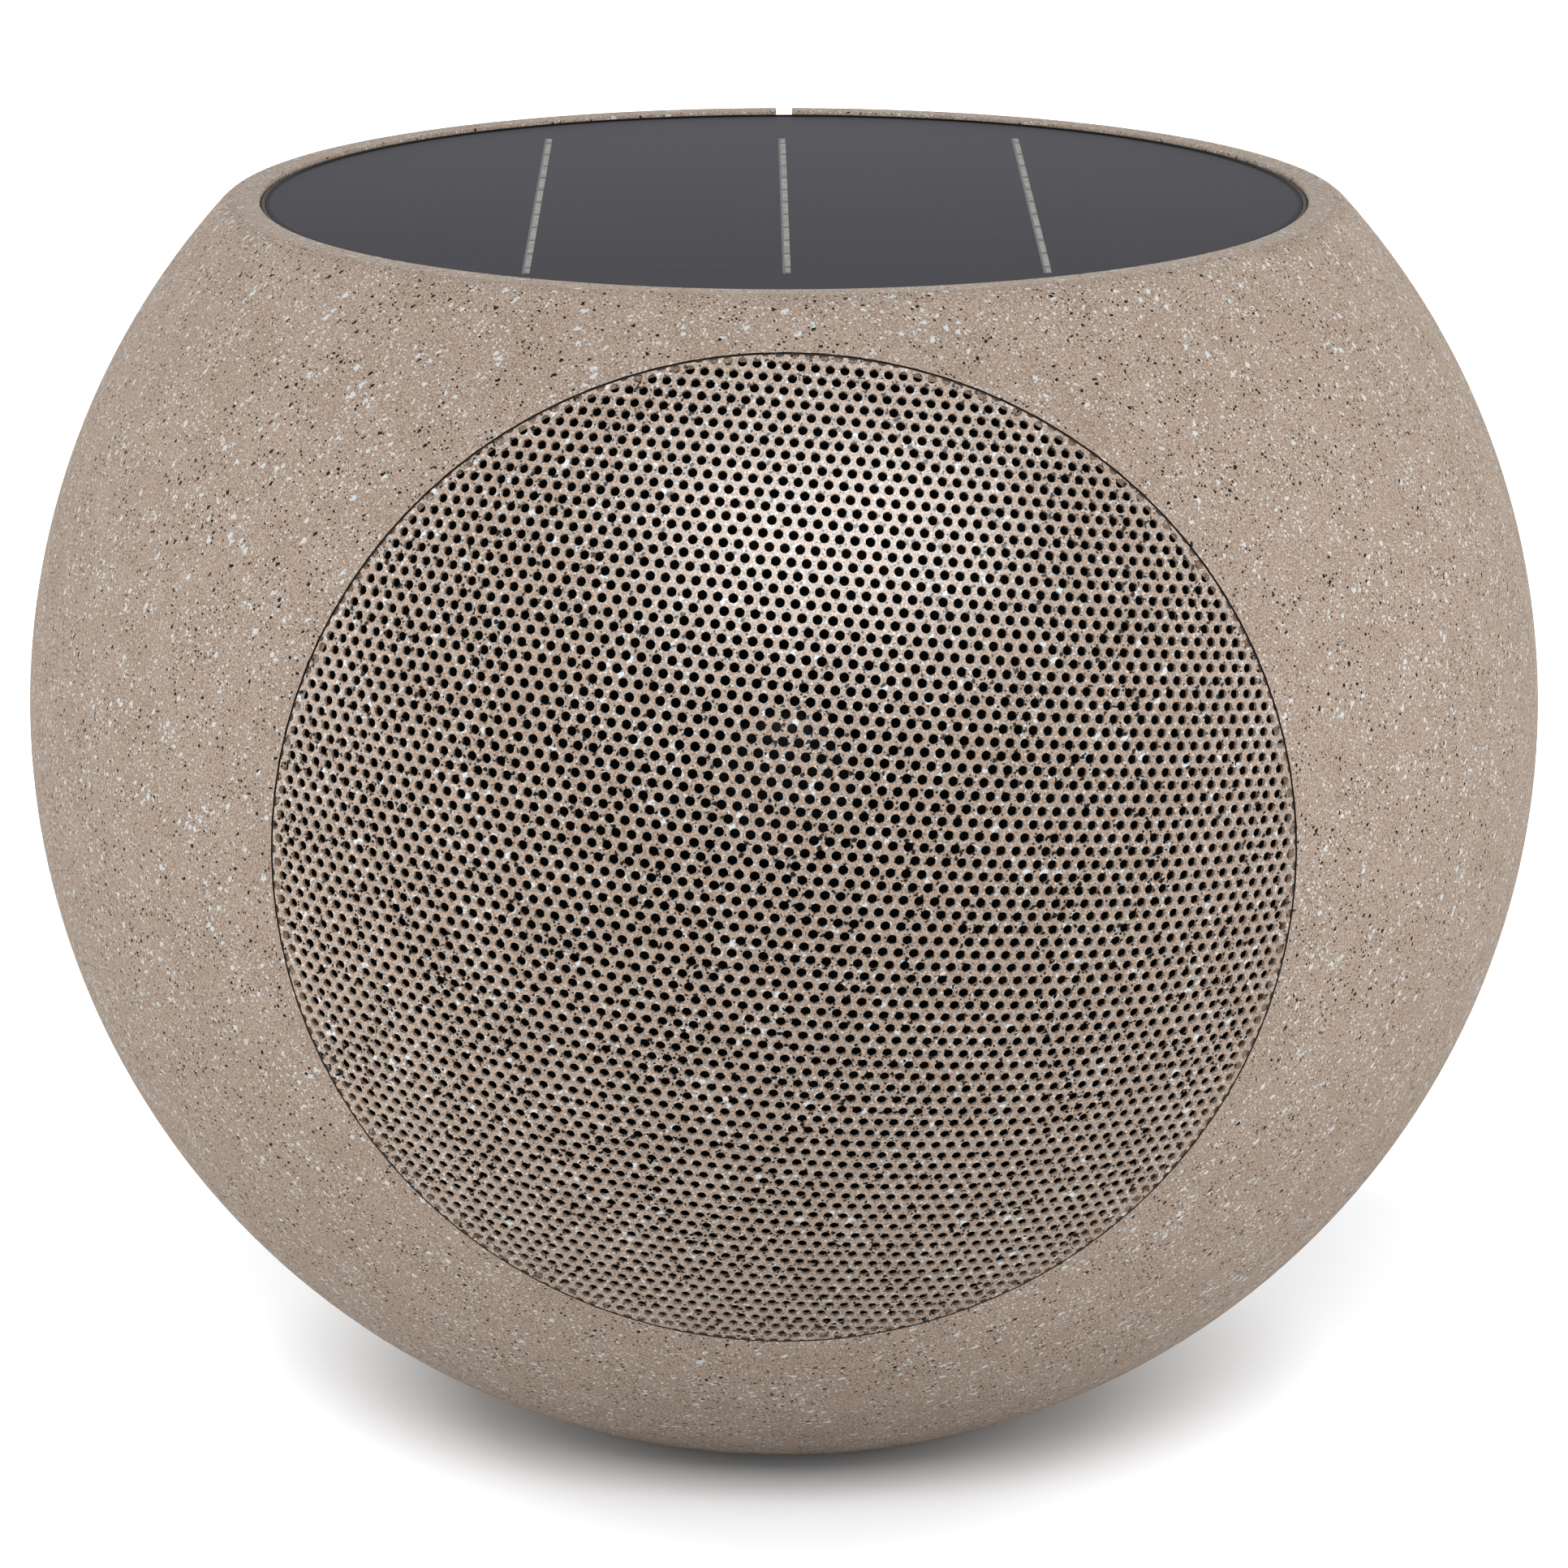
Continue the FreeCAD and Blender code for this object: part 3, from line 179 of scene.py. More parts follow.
def noise(tree, place, grain, detail=2.0):
    """Noise whose lumps are about one grain across."""
    node = tree.nodes.new("ShaderNodeTexNoise")
    node.inputs["Scale"].default_value = 1 / grain
    node.inputs["Detail"].default_value = detail
    tree.links.new(place, node.inputs["Vector"])
    return node


def levels(tree, value, low, high, dark, light):
    node = tree.nodes.new("ShaderNodeMapRange")
    node.interpolation_type = "SMOOTHSTEP"
    tree.links.new(value, node.inputs["Value"])
    for name, setting in (("From Min", low), ("From Max", high), ("To Min", dark), ("To Max", light)):
        if isinstance(setting, (int, float)):
            node.inputs[name].default_value = setting
        else:
            tree.links.new(setting, node.inputs[name])
    return node.outputs["Result"]


SMALLEST_CHIP = 0.45
CHIP_CORE = 0.75
CHIP_RAG = 1.0


def chips(tree, place, ragged, crowds, spacing, stretch, turn, kinds):
    """Masks of scattered chips of two kinds. Each cell of the spacing holds one chip of either kind or none,
    drawn out along one direction with a ragged edge. More cells keep theirs where the kind's crowd is dense."""
    turned = tree.nodes.new("ShaderNodeVectorRotate")
    turned.rotation_type = "EULER_XYZ"
    turned.inputs["Rotation"].default_value = [math.radians(angle) for angle in turn]
    tree.links.new(place, turned.inputs["Vector"])
    scaled = tree.nodes.new("ShaderNodeMapping")
    scaled.inputs["Scale"].default_value = (1 / (spacing * stretch), 1 / spacing, 1 / spacing)
    tree.links.new(turned.outputs["Vector"], scaled.inputs["Vector"])
    cells = tree.nodes.new("ShaderNodeTexVoronoi")
    cells.inputs["Scale"].default_value = 1
    tree.links.new(scaled.outputs["Vector"], cells.inputs["Vector"])
    draw = tree.nodes.new("ShaderNodeSeparateColor")
    tree.links.new(cells.outputs["Color"], draw.inputs["Color"])
    picks = (draw.outputs["Green"], math_node(tree, "SUBTRACT", 1.0, draw.outputs["Green"]))
    masks = []
    for pick, crowd, (reach, share, colour) in zip(picks, crowds, kinds):
        size = reach * MM / spacing
        edge = math_node(tree, "MULTIPLY_ADD", draw.outputs["Red"], size)
        edge.node.inputs[2].default_value = SMALLEST_CHIP * size
        rag = math_node(tree, "MULTIPLY_ADD", ragged, 2 * CHIP_RAG * size)
        rag.node.inputs[2].default_value = -CHIP_RAG * size
        distance = math_node(tree, "ADD", cells.outputs["Distance"], rag)
        inner = math_node(tree, "MULTIPLY", edge, CHIP_CORE)
        spot = levels(tree, distance, inner, edge, 1.0, 0.0)
        kept = math_node(tree, "LESS_THAN", pick, math_node(tree, "MULTIPLY", crowd, 2 * share))
        masks.append((math_node(tree, "MULTIPLY", spot, kept), linear(*colour)))
    return masks


STONE_GREY = (187, 168, 152)
CHIP_EDGE_GRAIN = 0.45 * MM
CROWD_GRAIN = 7 * MM
CLOUD_GRAIN = 9 * MM
STONE_GRAIN = 0.3 * MM
STONE_RELIEF = 0.05 * MM
# Depth below the lip's top over which the painted highlight fades in.
LIP_HIGHLIGHT_BAND = 0.15 * MM


def stone_finish(name, roughness, specular, layers, highlight_from=None):
    """Warm grey with white and dark brown chips, for the moulded ball and the painted grille. White and dark
    chips crowd in different places. Above the given height, on the lip's top, the surface is painted paler:
    a painted highlight."""
    material, tree, shader = new_material(name, STONE_GREY, roughness)
    shader.inputs["Specular IOR Level"].default_value = specular
    place = tree.nodes.new("ShaderNodeTexCoord").outputs["Object"]
    ragged = noise(tree, place, CHIP_EDGE_GRAIN, 0.0).outputs["Fac"]
    crowd = tree.nodes.new("ShaderNodeSeparateColor")
    tree.links.new(noise(tree, place, CROWD_GRAIN, 1.0).outputs["Color"], crowd.inputs["Color"])
    cloud = noise(tree, place, CLOUD_GRAIN, 1.0)
    grain = noise(tree, place, STONE_GRAIN, 1.0)
    tint = mixed(tree, levels(tree, cloud.outputs["Fac"], 0.35, 0.65, 0.0, 1.0),
                 linear(186, 166, 149), linear(192, 172, 156))
    tint = mixed(tree, levels(tree, grain.outputs["Fac"], 0.50, 0.70, 0.0, 0.8), tint, linear(140, 116, 100))
    tint = mixed(tree, levels(tree, grain.outputs["Fac"], 0.48, 0.30, 0.0, 0.85), tint, linear(226, 213, 200))
    crowds = [levels(tree, crowd.outputs[channel], 0.35, 0.65, 0.2, 0.8) for channel in ("Red", "Green")]
    for spacing, stretch, turn, *kinds in layers:
        for mask, colour in chips(tree, place, ragged, crowds, spacing * MM, stretch, turn, kinds):
            tint = mixed(tree, mask, tint, colour)
    # Painted highlight: the lip's top, at and just below the given height, is painted paler than the rest.
    if highlight_from:
        axes = tree.nodes.new("ShaderNodeSeparateXYZ")
        tree.links.new(place, axes.inputs["Vector"])
        lip_highlight = levels(tree, axes.outputs["Z"], highlight_from - LIP_HIGHLIGHT_BAND, highlight_from, 0.0, 0.25)
        tint = mixed(tree, lip_highlight, tint, linear(222, 208, 198))
    tree.links.new(tint, shader.inputs["Base Color"])
    bump = tree.nodes.new("ShaderNodeBump")
    bump.inputs["Strength"].default_value = 0.25
    bump.inputs["Distance"].default_value = STONE_RELIEF
    tree.links.new(grain.outputs["Fac"], bump.inputs["Height"])
    tree.links.new(bump.outputs["Normal"], shader.inputs["Normal"])
    return material


def faces_on_ball(places, corners, starts):
    off = np.abs(np.linalg.norm(places - np.array(ball_centre), axis=1) - ball_radius)[corners]
    return np.maximum.reduceat(off, starts) < ON_BALL


# Each layer of chips has a spacing in mm, a stretch, a turn in degrees, and the reach in mm, share and colour
# of its white and its dark chips.
SHELL_CHIPS = (
    (0.66, 1.25, (10, 40, 75), (0.21, 0.4, (232, 230, 227)), (0.17, 0.34, (40, 30, 25))),
    (1.35, 1.6, (55, 15, 30), (0.38, 0.24, (234, 238, 240)), (0.25, 0.42, (30, 21, 18))),
)
lip_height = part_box("body_shell")[1].z
# The ball's finish carries a painted highlight on the lip's top, from the lip's height up.
shell_material = stone_finish("stone_plastic", 0.62, 0.12, SHELL_CHIPS, lip_height)


def boxes(name, corners):
    """Plain blocks, each given by its lowest and highest corners."""
    work = bmesh.new()
    for low, high in corners:
        low, high = Vector(low), Vector(high)
        place = Matrix.Translation((low + high) / 2) @ Matrix.Diagonal((*(high - low), 1))
        bmesh.ops.create_cube(work, size=1, matrix=place)
    mesh = bpy.data.meshes.new(name)
    work.to_mesh(mesh)
    work.free()
    return mesh


def cut_away(mesh, cutter):
    """The mesh less the cutter's shape."""
    pieces = [bpy.data.objects.new("blank", mesh), bpy.data.objects.new("cutter", cutter)]
    for piece in pieces:
        bpy.context.scene.collection.objects.link(piece)
    cut = pieces[0].modifiers.new("cut", "BOOLEAN")
    cut.operation = "DIFFERENCE"
    cut.object = pieces[1]
    result = bpy.data.meshes.new_from_object(pieces[0].evaluated_get(bpy.context.evaluated_depsgraph_get()))
    for piece in pieces:
        bpy.data.objects.remove(piece)
    return result


NOTCH_WIDTH = 2.9 * MM
NOTCH_LENGTH = 14 * MM
NOTCH_HEIGHT = 8 * MM
NOTCH_FALL = math.radians(25)
panel_low, panel_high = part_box("solar_panel")
notch = boxes("drain_notch", [((-NOTCH_WIDTH / 2, 0, 0), (NOTCH_WIDTH / 2, NOTCH_LENGTH, NOTCH_HEIGHT))])
notch.transform(Matrix.Translation((0, panel_high.y, panel_high.z)) @ Matrix.Rotation(-NOTCH_FALL, 4, "X"))
shell_mesh = cut_away(smooth_copy("body_shell", on_ball=True), notch)
round_normals(shell_mesh, faces_on_ball)
shell = new_piece("moulded_shell", shell_mesh, shell_material)
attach(shell, "housing")
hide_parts("body_shell")

# Grille: a dome of perforated steel sheet, drawn to the ball's own curve, with a straight skirt that slips
# into the collar. The dome is painted in the same speckled finish, with more gloss than the plastic; the
# skirt is dark brown, a painted shade for the gap at the collar.
HOLE_PITCH = 2.52 * MM
HOLE_RADIUS = 0.85 * MM
BACK_RADIUS = 0.92 * MM
LATTICE_TURN = math.radians(-5.2)
SHEET = 0.6 * MM
SKIRT_DEPTH = 9.0 * MM
SKIRT_WALL = 0.15 * MM
SKIRT_FLARE = 0.1 * MM
SKIRT_DROP = 0.15 * MM
LEDGE_WIDTH = 0.9 * MM
LEDGE_DROP = 0.25 * MM
FRONT_CORNERS = 12
BACK_CORNERS = 6
TILE_MERGE = 0.02 * MM
RING_STEPS = 192


def perforated_tile():
    """One hole of the sheet with its wall, the three bridges to its neighbours ahead and the two fields
    between them. Height 0 is the front of the sheet, and height -1 the back."""
    tile = bmesh.new()
    made = {}

    def neighbour(direction):
        if direction is None:
            return Vector((0, 0, 0))
        angle = direction * math.pi / 3
        return Vector((math.cos(angle), math.sin(angle), 0)) * HOLE_PITCH

    def corner(direction, number, count, radius, height):
        number %= count
        if (direction, number, count) not in made:
            angle = (number + 0.5) * 2 * math.pi / count
            spot = neighbour(direction) + Vector((math.cos(angle), math.sin(angle), 0)) * radius
            made[direction, number, count] = tile.verts.new((spot.x, spot.y, height))
        return made[direction, number, count]

    def front(direction, number):
        return corner(direction, number, FRONT_CORNERS, HOLE_RADIUS, 0)

    def back(direction, number):
        return corner(direction, number, BACK_CORNERS, BACK_RADIUS, -1)

    for way in range(3):
        step = 2 * way
        tile.faces.new((front(None, 11 + step), front(way, 6 + step), front(way, 5 + step),
                        front(None, step)))
        tile.faces.new((back(None, way), back(way, 2 + way), back(way, 3 + way), back(None, 5 + way)))
    for way in range(2):
        step = 2 * way
        tile.faces.new((front(None, 1 + step), front(None, step), front(way, 5 + step), front(way, 4 + step),
                        front(way + 1, 9 + step), front(way + 1, 8 + step)))
        tile.faces.new((back(way + 1, 4 + way), back(way, 2 + way), back(None, way)))
    for side in range(BACK_CORNERS):
        tile.faces.new((front(None, 2 * side), front(None, 2 * side + 1), back(None, side)))
        tile.faces.new((front(None, 2 * side + 1), front(None, 2 * side + 2), back(None, side + 1),
                        back(None, side)))
    mesh = bpy.data.meshes.new("perforated_tile")
    tile.to_mesh(mesh)
    tile.free()
    piece = bpy.data.objects.new("perforated_tile", mesh)
    bpy.context.scene.collection.objects.link(piece)
    return piece


class NodeTree:
    """A Geometry Nodes tree with named inputs, and short ways to add the nodes that this object needs."""

    def __init__(self, name, sizes):
        self.tree = bpy.data.node_groups.new(name, "GeometryNodeTree")
        self.tree.interface.new_socket("Geometry", in_out="OUTPUT", socket_type="NodeSocketGeometry")
        self.settings = {}
        for label, (kind, value) in sizes.items():
            socket = self.tree.interface.new_socket(label, in_out="INPUT", socket_type=f"NodeSocket{kind}")
            self.settings[socket.identifier] = value
        self.inputs = self.tree.nodes.new("NodeGroupInput").outputs

    def add(self, kind, values=None, **options):
        node = self.tree.nodes.new(kind)
        for option, setting in options.items():
            setattr(node, option, setting)
        for key, value in (values or {}).items():
            socket = node.inputs[key]
            if isinstance(value, bpy.types.NodeSocket):
                self.tree.links.new(value, socket)
            else:
                socket.default_value = value
        return node

    def maths(self, operation, *values):
        return self.add("ShaderNodeMath", dict(enumerate(values)), operation=operation).outputs[0]

    def vector(self, operation, *values):
        return self.add("ShaderNodeVectorMath", dict(enumerate(values)), operation=operation).outputs[0]

    def joined(self, x, y, z):
        return self.add("ShaderNodeCombineXYZ", {"X": x, "Y": y, "Z": z}).outputs[0]

    def finish(self, name, geometry):
        """Ends the tree, runs it and gives the result back as a plain mesh."""
        whole = self.add("GeometryNodeRealizeInstances", {"Geometry": geometry})
        painted = self.add("GeometryNodeSetMaterial", {"Geometry": whole.outputs[0],
                                                       "Material": self.inputs["Material"]})
        end = self.tree.nodes.new("NodeGroupOutput")
        self.tree.links.new(painted.outputs[0], end.inputs[0])
        holder = bpy.data.objects.new(name, bpy.data.meshes.new(name))
        bpy.context.scene.collection.objects.link(holder)
        modifier = holder.modifiers.new(name, "NODES")
        modifier.node_group = self.tree
        for identifier, value in self.settings.items():
            modifier[identifier] = value
        evaluated = holder.evaluated_get(bpy.context.evaluated_depsgraph_get())
        mesh = bpy.data.meshes.new_from_object(evaluated)
        bpy.data.objects.remove(holder)
        mesh.name = name
        return mesh


GRILLE_CHIPS = (
    (0.66, 1.2, (30, 10, 65), (0.21, 0.4, (234, 232, 229)), (0.187, 0.47, (26, 19, 16))),
    (1.3, 1.5, (75, 45, 20), (0.42, 0.14, (238, 243, 246)), (0.31, 0.72, (16, 12, 11))),
)
grille_material = stone_finish("painted_grille", 0.36, 0.2, GRILLE_CHIPS)
tile_piece = perforated_tile()
rim_reach = math.asin(grille_radius / ball_radius) * ball_radius
ROWS = 2 * math.ceil(rim_reach / (HOLE_PITCH * math.sqrt(3) / 2)) + 5
dome = NodeTree("perforated_dome", {
    "Tile": ("Object", tile_piece),
    "Pitch": ("Float", HOLE_PITCH),
    "Lattice Turn": ("Float", LATTICE_TURN),
    "Rows": ("Int", ROWS),
    "Ball Radius": ("Float", ball_radius),
    "Ball Height": ("Float", ball_centre.z),
    "Rim Reach": ("Float", rim_reach),
    "Sheet": ("Float", SHEET),
    "Material": ("Material", grille_material),
})
given = dome.inputs
index = dome.add("GeometryNodeInputIndex").outputs[0]
row = dome.maths("FLOOR", dome.maths("DIVIDE", index, given["Rows"]))
column = dome.maths("MODULO", index, given["Rows"])
half_rows = dome.maths("FLOOR", dome.maths("DIVIDE", given["Rows"], 2.0))
offset = dome.maths("MULTIPLY", dome.maths("MODULO", row, 2.0), 0.5)
across = dome.maths("ADD", dome.maths("SUBTRACT", column, half_rows), offset)
along = dome.maths("MULTIPLY", dome.maths("SUBTRACT", row, half_rows), math.sqrt(3) / 2)
flat = dome.vector("SCALE", dome.joined(across, along, 0.0))
dome.tree.links.new(given["Pitch"], flat.node.inputs["Scale"])
spin = dome.joined(0.0, 0.0, given["Lattice Turn"])
lattice = dome.add("ShaderNodeVectorRotate", {"Vector": flat, "Angle": given["Lattice Turn"]},
                   rotation_type="Z_AXIS").outputs[0]
spots = dome.add("GeometryNodePoints", {"Count": dome.maths("MULTIPLY", given["Rows"], given["Rows"]),
                                        "Position": lattice})
position = dome.add("GeometryNodeInputPosition").outputs[0]
level_place = dome.vector("MULTIPLY", position, (1.0, 1.0, 0.0))
reach = dome.add("ShaderNodeVectorMath", {0: level_place}, operation="LENGTH").outputs["Value"]
beyond = dome.maths("GREATER_THAN", reach, dome.maths("ADD", given["Rim Reach"], given["Pitch"]))
near = dome.add("GeometryNodeDeleteGeometry", {"Geometry": spots.outputs[0], "Selection": beyond},
                domain="POINT")
tile_info = dome.add("GeometryNodeObjectInfo", {"Object": given["Tile"]})
holes = dome.add("GeometryNodeInstanceOnPoints", {
    "Points": near.outputs[0], "Instance": tile_info.outputs["Geometry"], "Rotation": spin})
sheet = dome.add("GeometryNodeRealizeInstances", {"Geometry": holes.outputs[0]})
sheet = dome.add("GeometryNodeMergeByDistance", {"Geometry": sheet.outputs[0], "Distance": TILE_MERGE})
outside = dome.add("FunctionNodeCompare", {0: reach, 1: given["Rim Reach"]}, data_type="FLOAT",
                   operation="GREATER_EQUAL").outputs[0]
whole_face = dome.add("GeometryNodeFieldOnDomain", {"Value": outside}, data_type="BOOLEAN", domain="POINT")
sheet = dome.add("GeometryNodeDeleteGeometry", {
    "Geometry": sheet.outputs[0], "Selection": whole_face.outputs[0]}, domain="FACE")
heading = dome.vector("NORMALIZE", level_place)
parts = dome.add("ShaderNodeSeparateXYZ", {"Vector": heading}).outputs
height = dome.add("ShaderNodeSeparateXYZ", {"Vector": position}).outputs["Z"]
angle = dome.maths("DIVIDE", dome.maths("MINIMUM", reach, given["Rim Reach"]), given["Ball Radius"])
radius = dome.maths("ADD", given["Ball Radius"], dome.maths("MULTIPLY", height, given["Sheet"]))
level = dome.maths("MULTIPLY", radius, dome.maths("SINE", angle))
depth = dome.maths("MULTIPLY", radius, dome.maths("MULTIPLY", dome.maths("COSINE", angle), -1.0))
on_ball = dome.joined(
    dome.maths("MULTIPLY", parts["X"], level), depth,
    dome.maths("ADD", dome.maths("MULTIPLY", parts["Y"], level), given["Ball Height"]))
sheet = dome.add("GeometryNodeSetPosition", {"Geometry": sheet.outputs[0], "Position": on_ball})
grille_mesh = dome.finish("perforated_grille", sheet.outputs[0])
bpy.data.objects.remove(tile_piece)
grille_mesh.shade_flat()
round_normals(grille_mesh, faces_on_ball)
grille = new_piece("perforated_grille", grille_mesh, grille_material)
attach(grille, "housing")
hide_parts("grille")


def turned_ring(name, profile):
    """A ring about the front axis, from corners given as radius and distance ahead of the ball's centre."""
    work = bmesh.new()
    rings = []
    for radius, ahead in profile:
        ring = []
        for step in range(RING_STEPS):
            angle = 2 * math.pi * step / RING_STEPS
            ring.append(work.verts.new(ball_centre + Vector((radius * math.cos(angle), -ahead,
                                                             radius * math.sin(angle)))))
        rings.append(ring)
    for ring, following in zip(rings, rings[1:] + rings[:1]):
        for step in range(RING_STEPS):
            after = (step + 1) % RING_STEPS
            work.faces.new((ring[step], ring[after], following[after], following[step]))
    bmesh.ops.recalc_face_normals(work, faces=work.faces)
    mesh = bpy.data.meshes.new(name)
    work.to_mesh(mesh)
    work.free()
    mesh.shade_smooth()
    mesh.set_sharp_from_angle(angle=CREASE)
    return mesh


def speckled(name, colour, shade, roughness, grain, relief=0.0, specular=0.5, metallic=0.0, clear=0.0):
    """A surface whose tone drifts between two colours, with a fine grain in its gloss and its relief."""
    material, tree, shader = new_material(name, colour, roughness)
    shader.inputs["Specular IOR Level"].default_value = specular
    shader.inputs["Metallic"].default_value = metallic
    shader.inputs["Transmission Weight"].default_value = clear
    place = tree.nodes.new("ShaderNodeTexCoord").outputs["Object"]
    drift = noise(tree, place, 10 * grain, 3.0).outputs["Fac"]
    fine = noise(tree, place, grain, 2.0).outputs["Fac"]
    tint = mixed(tree, levels(tree, drift, 0.35, 0.65, 0.0, 1.0), linear(*colour), linear(*shade))
    tree.links.new(tint, shader.inputs["Base Color"])
    gloss = levels(tree, fine, 0.3, 0.7, max(roughness - 0.08, 0.05), min(roughness + 0.08, 1.0))
    tree.links.new(gloss, shader.inputs["Roughness"])
    if relief:
        bump = tree.nodes.new("ShaderNodeBump")
        bump.inputs["Strength"].default_value = 0.4
        bump.inputs["Distance"].default_value = relief
        tree.links.new(fine, bump.inputs["Height"])
        tree.links.new(bump.outputs["Normal"], shader.inputs["Normal"])
    return material


# Painted shade: the skirt's dark brown stands in for the shade in the narrow gap between the collar and the
# grille.
skirt_shade_paint = speckled("skirt_painted_shade", (64, 52, 45), (52, 42, 37), 0.6, 0.5 * MM)
rim_ahead = math.sqrt(ball_radius ** 2 - grille_radius ** 2)
skirt_inside = grille_radius - SKIRT_WALL
skirt_mesh = turned_ring("grille_skirt", [
    (skirt_inside, rim_ahead - SKIRT_DEPTH),
    (grille_radius + SKIRT_FLARE, rim_ahead - SKIRT_DEPTH),
    (grille_radius + SKIRT_FLARE, rim_ahead - SKIRT_DROP),
    (skirt_inside, rim_ahead - SKIRT_DROP),
])
skirt = new_piece("grille_skirt", skirt_mesh, skirt_shade_paint)
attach(skirt, "housing")
ledge_mesh = turned_ring("grille_ledge", [
    (skirt_inside - LEDGE_WIDTH, rim_ahead - SKIRT_DEPTH),
    (skirt_inside, rim_ahead - SKIRT_DEPTH),
    (skirt_inside, rim_ahead - LEDGE_DROP),
    (skirt_inside - LEDGE_WIDTH, rim_ahead - LEDGE_DROP),
])
ledge = new_piece("grille_ledge", ledge_mesh, grille_material)
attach(ledge, "housing")

# Solar panel: a dark cell under a satin clear sheet, laid in the recess on a rubber ring. Fine conductor
# lines cross it, and three flat tinned ribbons run over them from front to back, each crimped into short
# lengths.
PANEL_FINGER = 1.5 * MM
FINGER_SOFT = 0.12 * MM
# Painted shade round the panel's edge, next to the lip; at the front it reaches further in, under the lip.
EDGE_SHADE_WIDTH = 0.8 * MM
EDGE_SHADE_CLEAR = 0.5 * MM
FRONT_EDGE_SHADE = 0.9 * MM
PANEL_DRIFT = 25 * MM
PANEL_GRAIN = 0.4 * MM
STREAK_GRAIN = 0.9 * MM
STREAK_STRETCH = 0.04
STRIP_WIDTH = 1.3 * MM
RIBBON_SEGMENTS = 10
SEGMENT_GAP = 1.8 * MM
STUB_LENGTH = 5.6 * MM
STUB_WIDTH = 0.8 * MM
BED_SHARE = 0.28
RIBBON_LEAN = math.radians(0.36)
RIBBON_BACK = 5.0 * MM
RIBBON_FRONT = 2.0 * MM
RIBBON_PROUD = 0.05 * MM
BED_PROUD = 0.02 * MM


def dress(material, *names):
    for name in names:
        cad[name].data.materials[0] = material


panel_material, panel_tree, panel_shader = new_material("solar_laminate", (84, 83, 89), 0.42)
panel_shader.inputs["Specular IOR Level"].default_value = 0.02
panel_place = panel_tree.nodes.new("ShaderNodeTexCoord").outputs["Object"]
panel_axes = panel_tree.nodes.new("ShaderNodeSeparateXYZ")
panel_tree.links.new(panel_place, panel_axes.inputs["Vector"])
finger = math_node(panel_tree, "PINGPONG", panel_axes.outputs["Y"], PANEL_FINGER / 2)
finger = levels(panel_tree, finger, 0.0, FINGER_SOFT, 0.5, 0.0)
panel_drift = noise(panel_tree, panel_place, PANEL_DRIFT, 3.0).outputs["Fac"]
panel_drift = levels(panel_tree, panel_drift, 0.3, 0.7, 0.0, 1.0)
panel_grain = noise(panel_tree, panel_place, PANEL_GRAIN, 2.0).outputs["Fac"]
panel_grain = levels(panel_tree, panel_grain, 0.35, 0.7, 0.0, 0.5)
panel_stretched = panel_tree.nodes.new("ShaderNodeMapping")
panel_stretched.inputs["Scale"].default_value = (STREAK_STRETCH, 1, 1)
panel_tree.links.new(panel_place, panel_stretched.inputs["Vector"])
panel_streak = noise(panel_tree, panel_stretched.outputs["Vector"], STREAK_GRAIN, 3.0).outputs["Fac"]
panel_streak = levels(panel_tree, panel_streak, 0.4, 0.68, 0.0, 0.4)
panel_tint = mixed(panel_tree, panel_drift, linear(40, 38, 48), linear(45, 43, 53))
panel_tint = mixed(panel_tree, panel_grain, panel_tint, linear(33, 31, 40))
panel_tint = mixed(panel_tree, panel_streak, panel_tint, linear(55, 53, 65))
panel_tint = mixed(panel_tree, finger, panel_tint, linear(64, 62, 73))
# Painted sheen: the laminate is painted lighter towards the back, where it is seen at a grazing angle.
painted_sheen = levels(panel_tree, panel_axes.outputs["Y"], panel_low.y, panel_high.y, 0.0, 1.0)
panel_tint = mixed(panel_tree, math_node(panel_tree, "MULTIPLY", painted_sheen, 0.75), panel_tint, linear(74, 72, 82))
panel_flat = panel_tree.nodes.new("ShaderNodeCombineXYZ")
panel_tree.links.new(panel_axes.outputs["X"], panel_flat.inputs["X"])
panel_tree.links.new(panel_axes.outputs["Y"], panel_flat.inputs["Y"])
panel_reach = panel_tree.nodes.new("ShaderNodeVectorMath")
panel_reach.operation = "LENGTH"
panel_tree.links.new(panel_flat.outputs["Vector"], panel_reach.inputs[0])
# Painted shade: near black round the panel's rim, where the gap and the lip shade it, wider towards the front.
ahead = levels(panel_tree, panel_axes.outputs["Y"], panel_low.y, 0.0, FRONT_EDGE_SHADE, 0.0)
edge_reach = math_node(panel_tree, "ADD", panel_reach.outputs["Value"], ahead)
edge_shade = levels(panel_tree, edge_reach, panel_high.x - EDGE_SHADE_WIDTH, panel_high.x - EDGE_SHADE_CLEAR, 0.0, 1.0)
panel_tint = mixed(panel_tree, edge_shade, panel_tint, linear(14, 14, 15))
panel_tree.links.new(panel_tint, panel_shader.inputs["Base Color"])
dress(panel_material, "solar_panel")

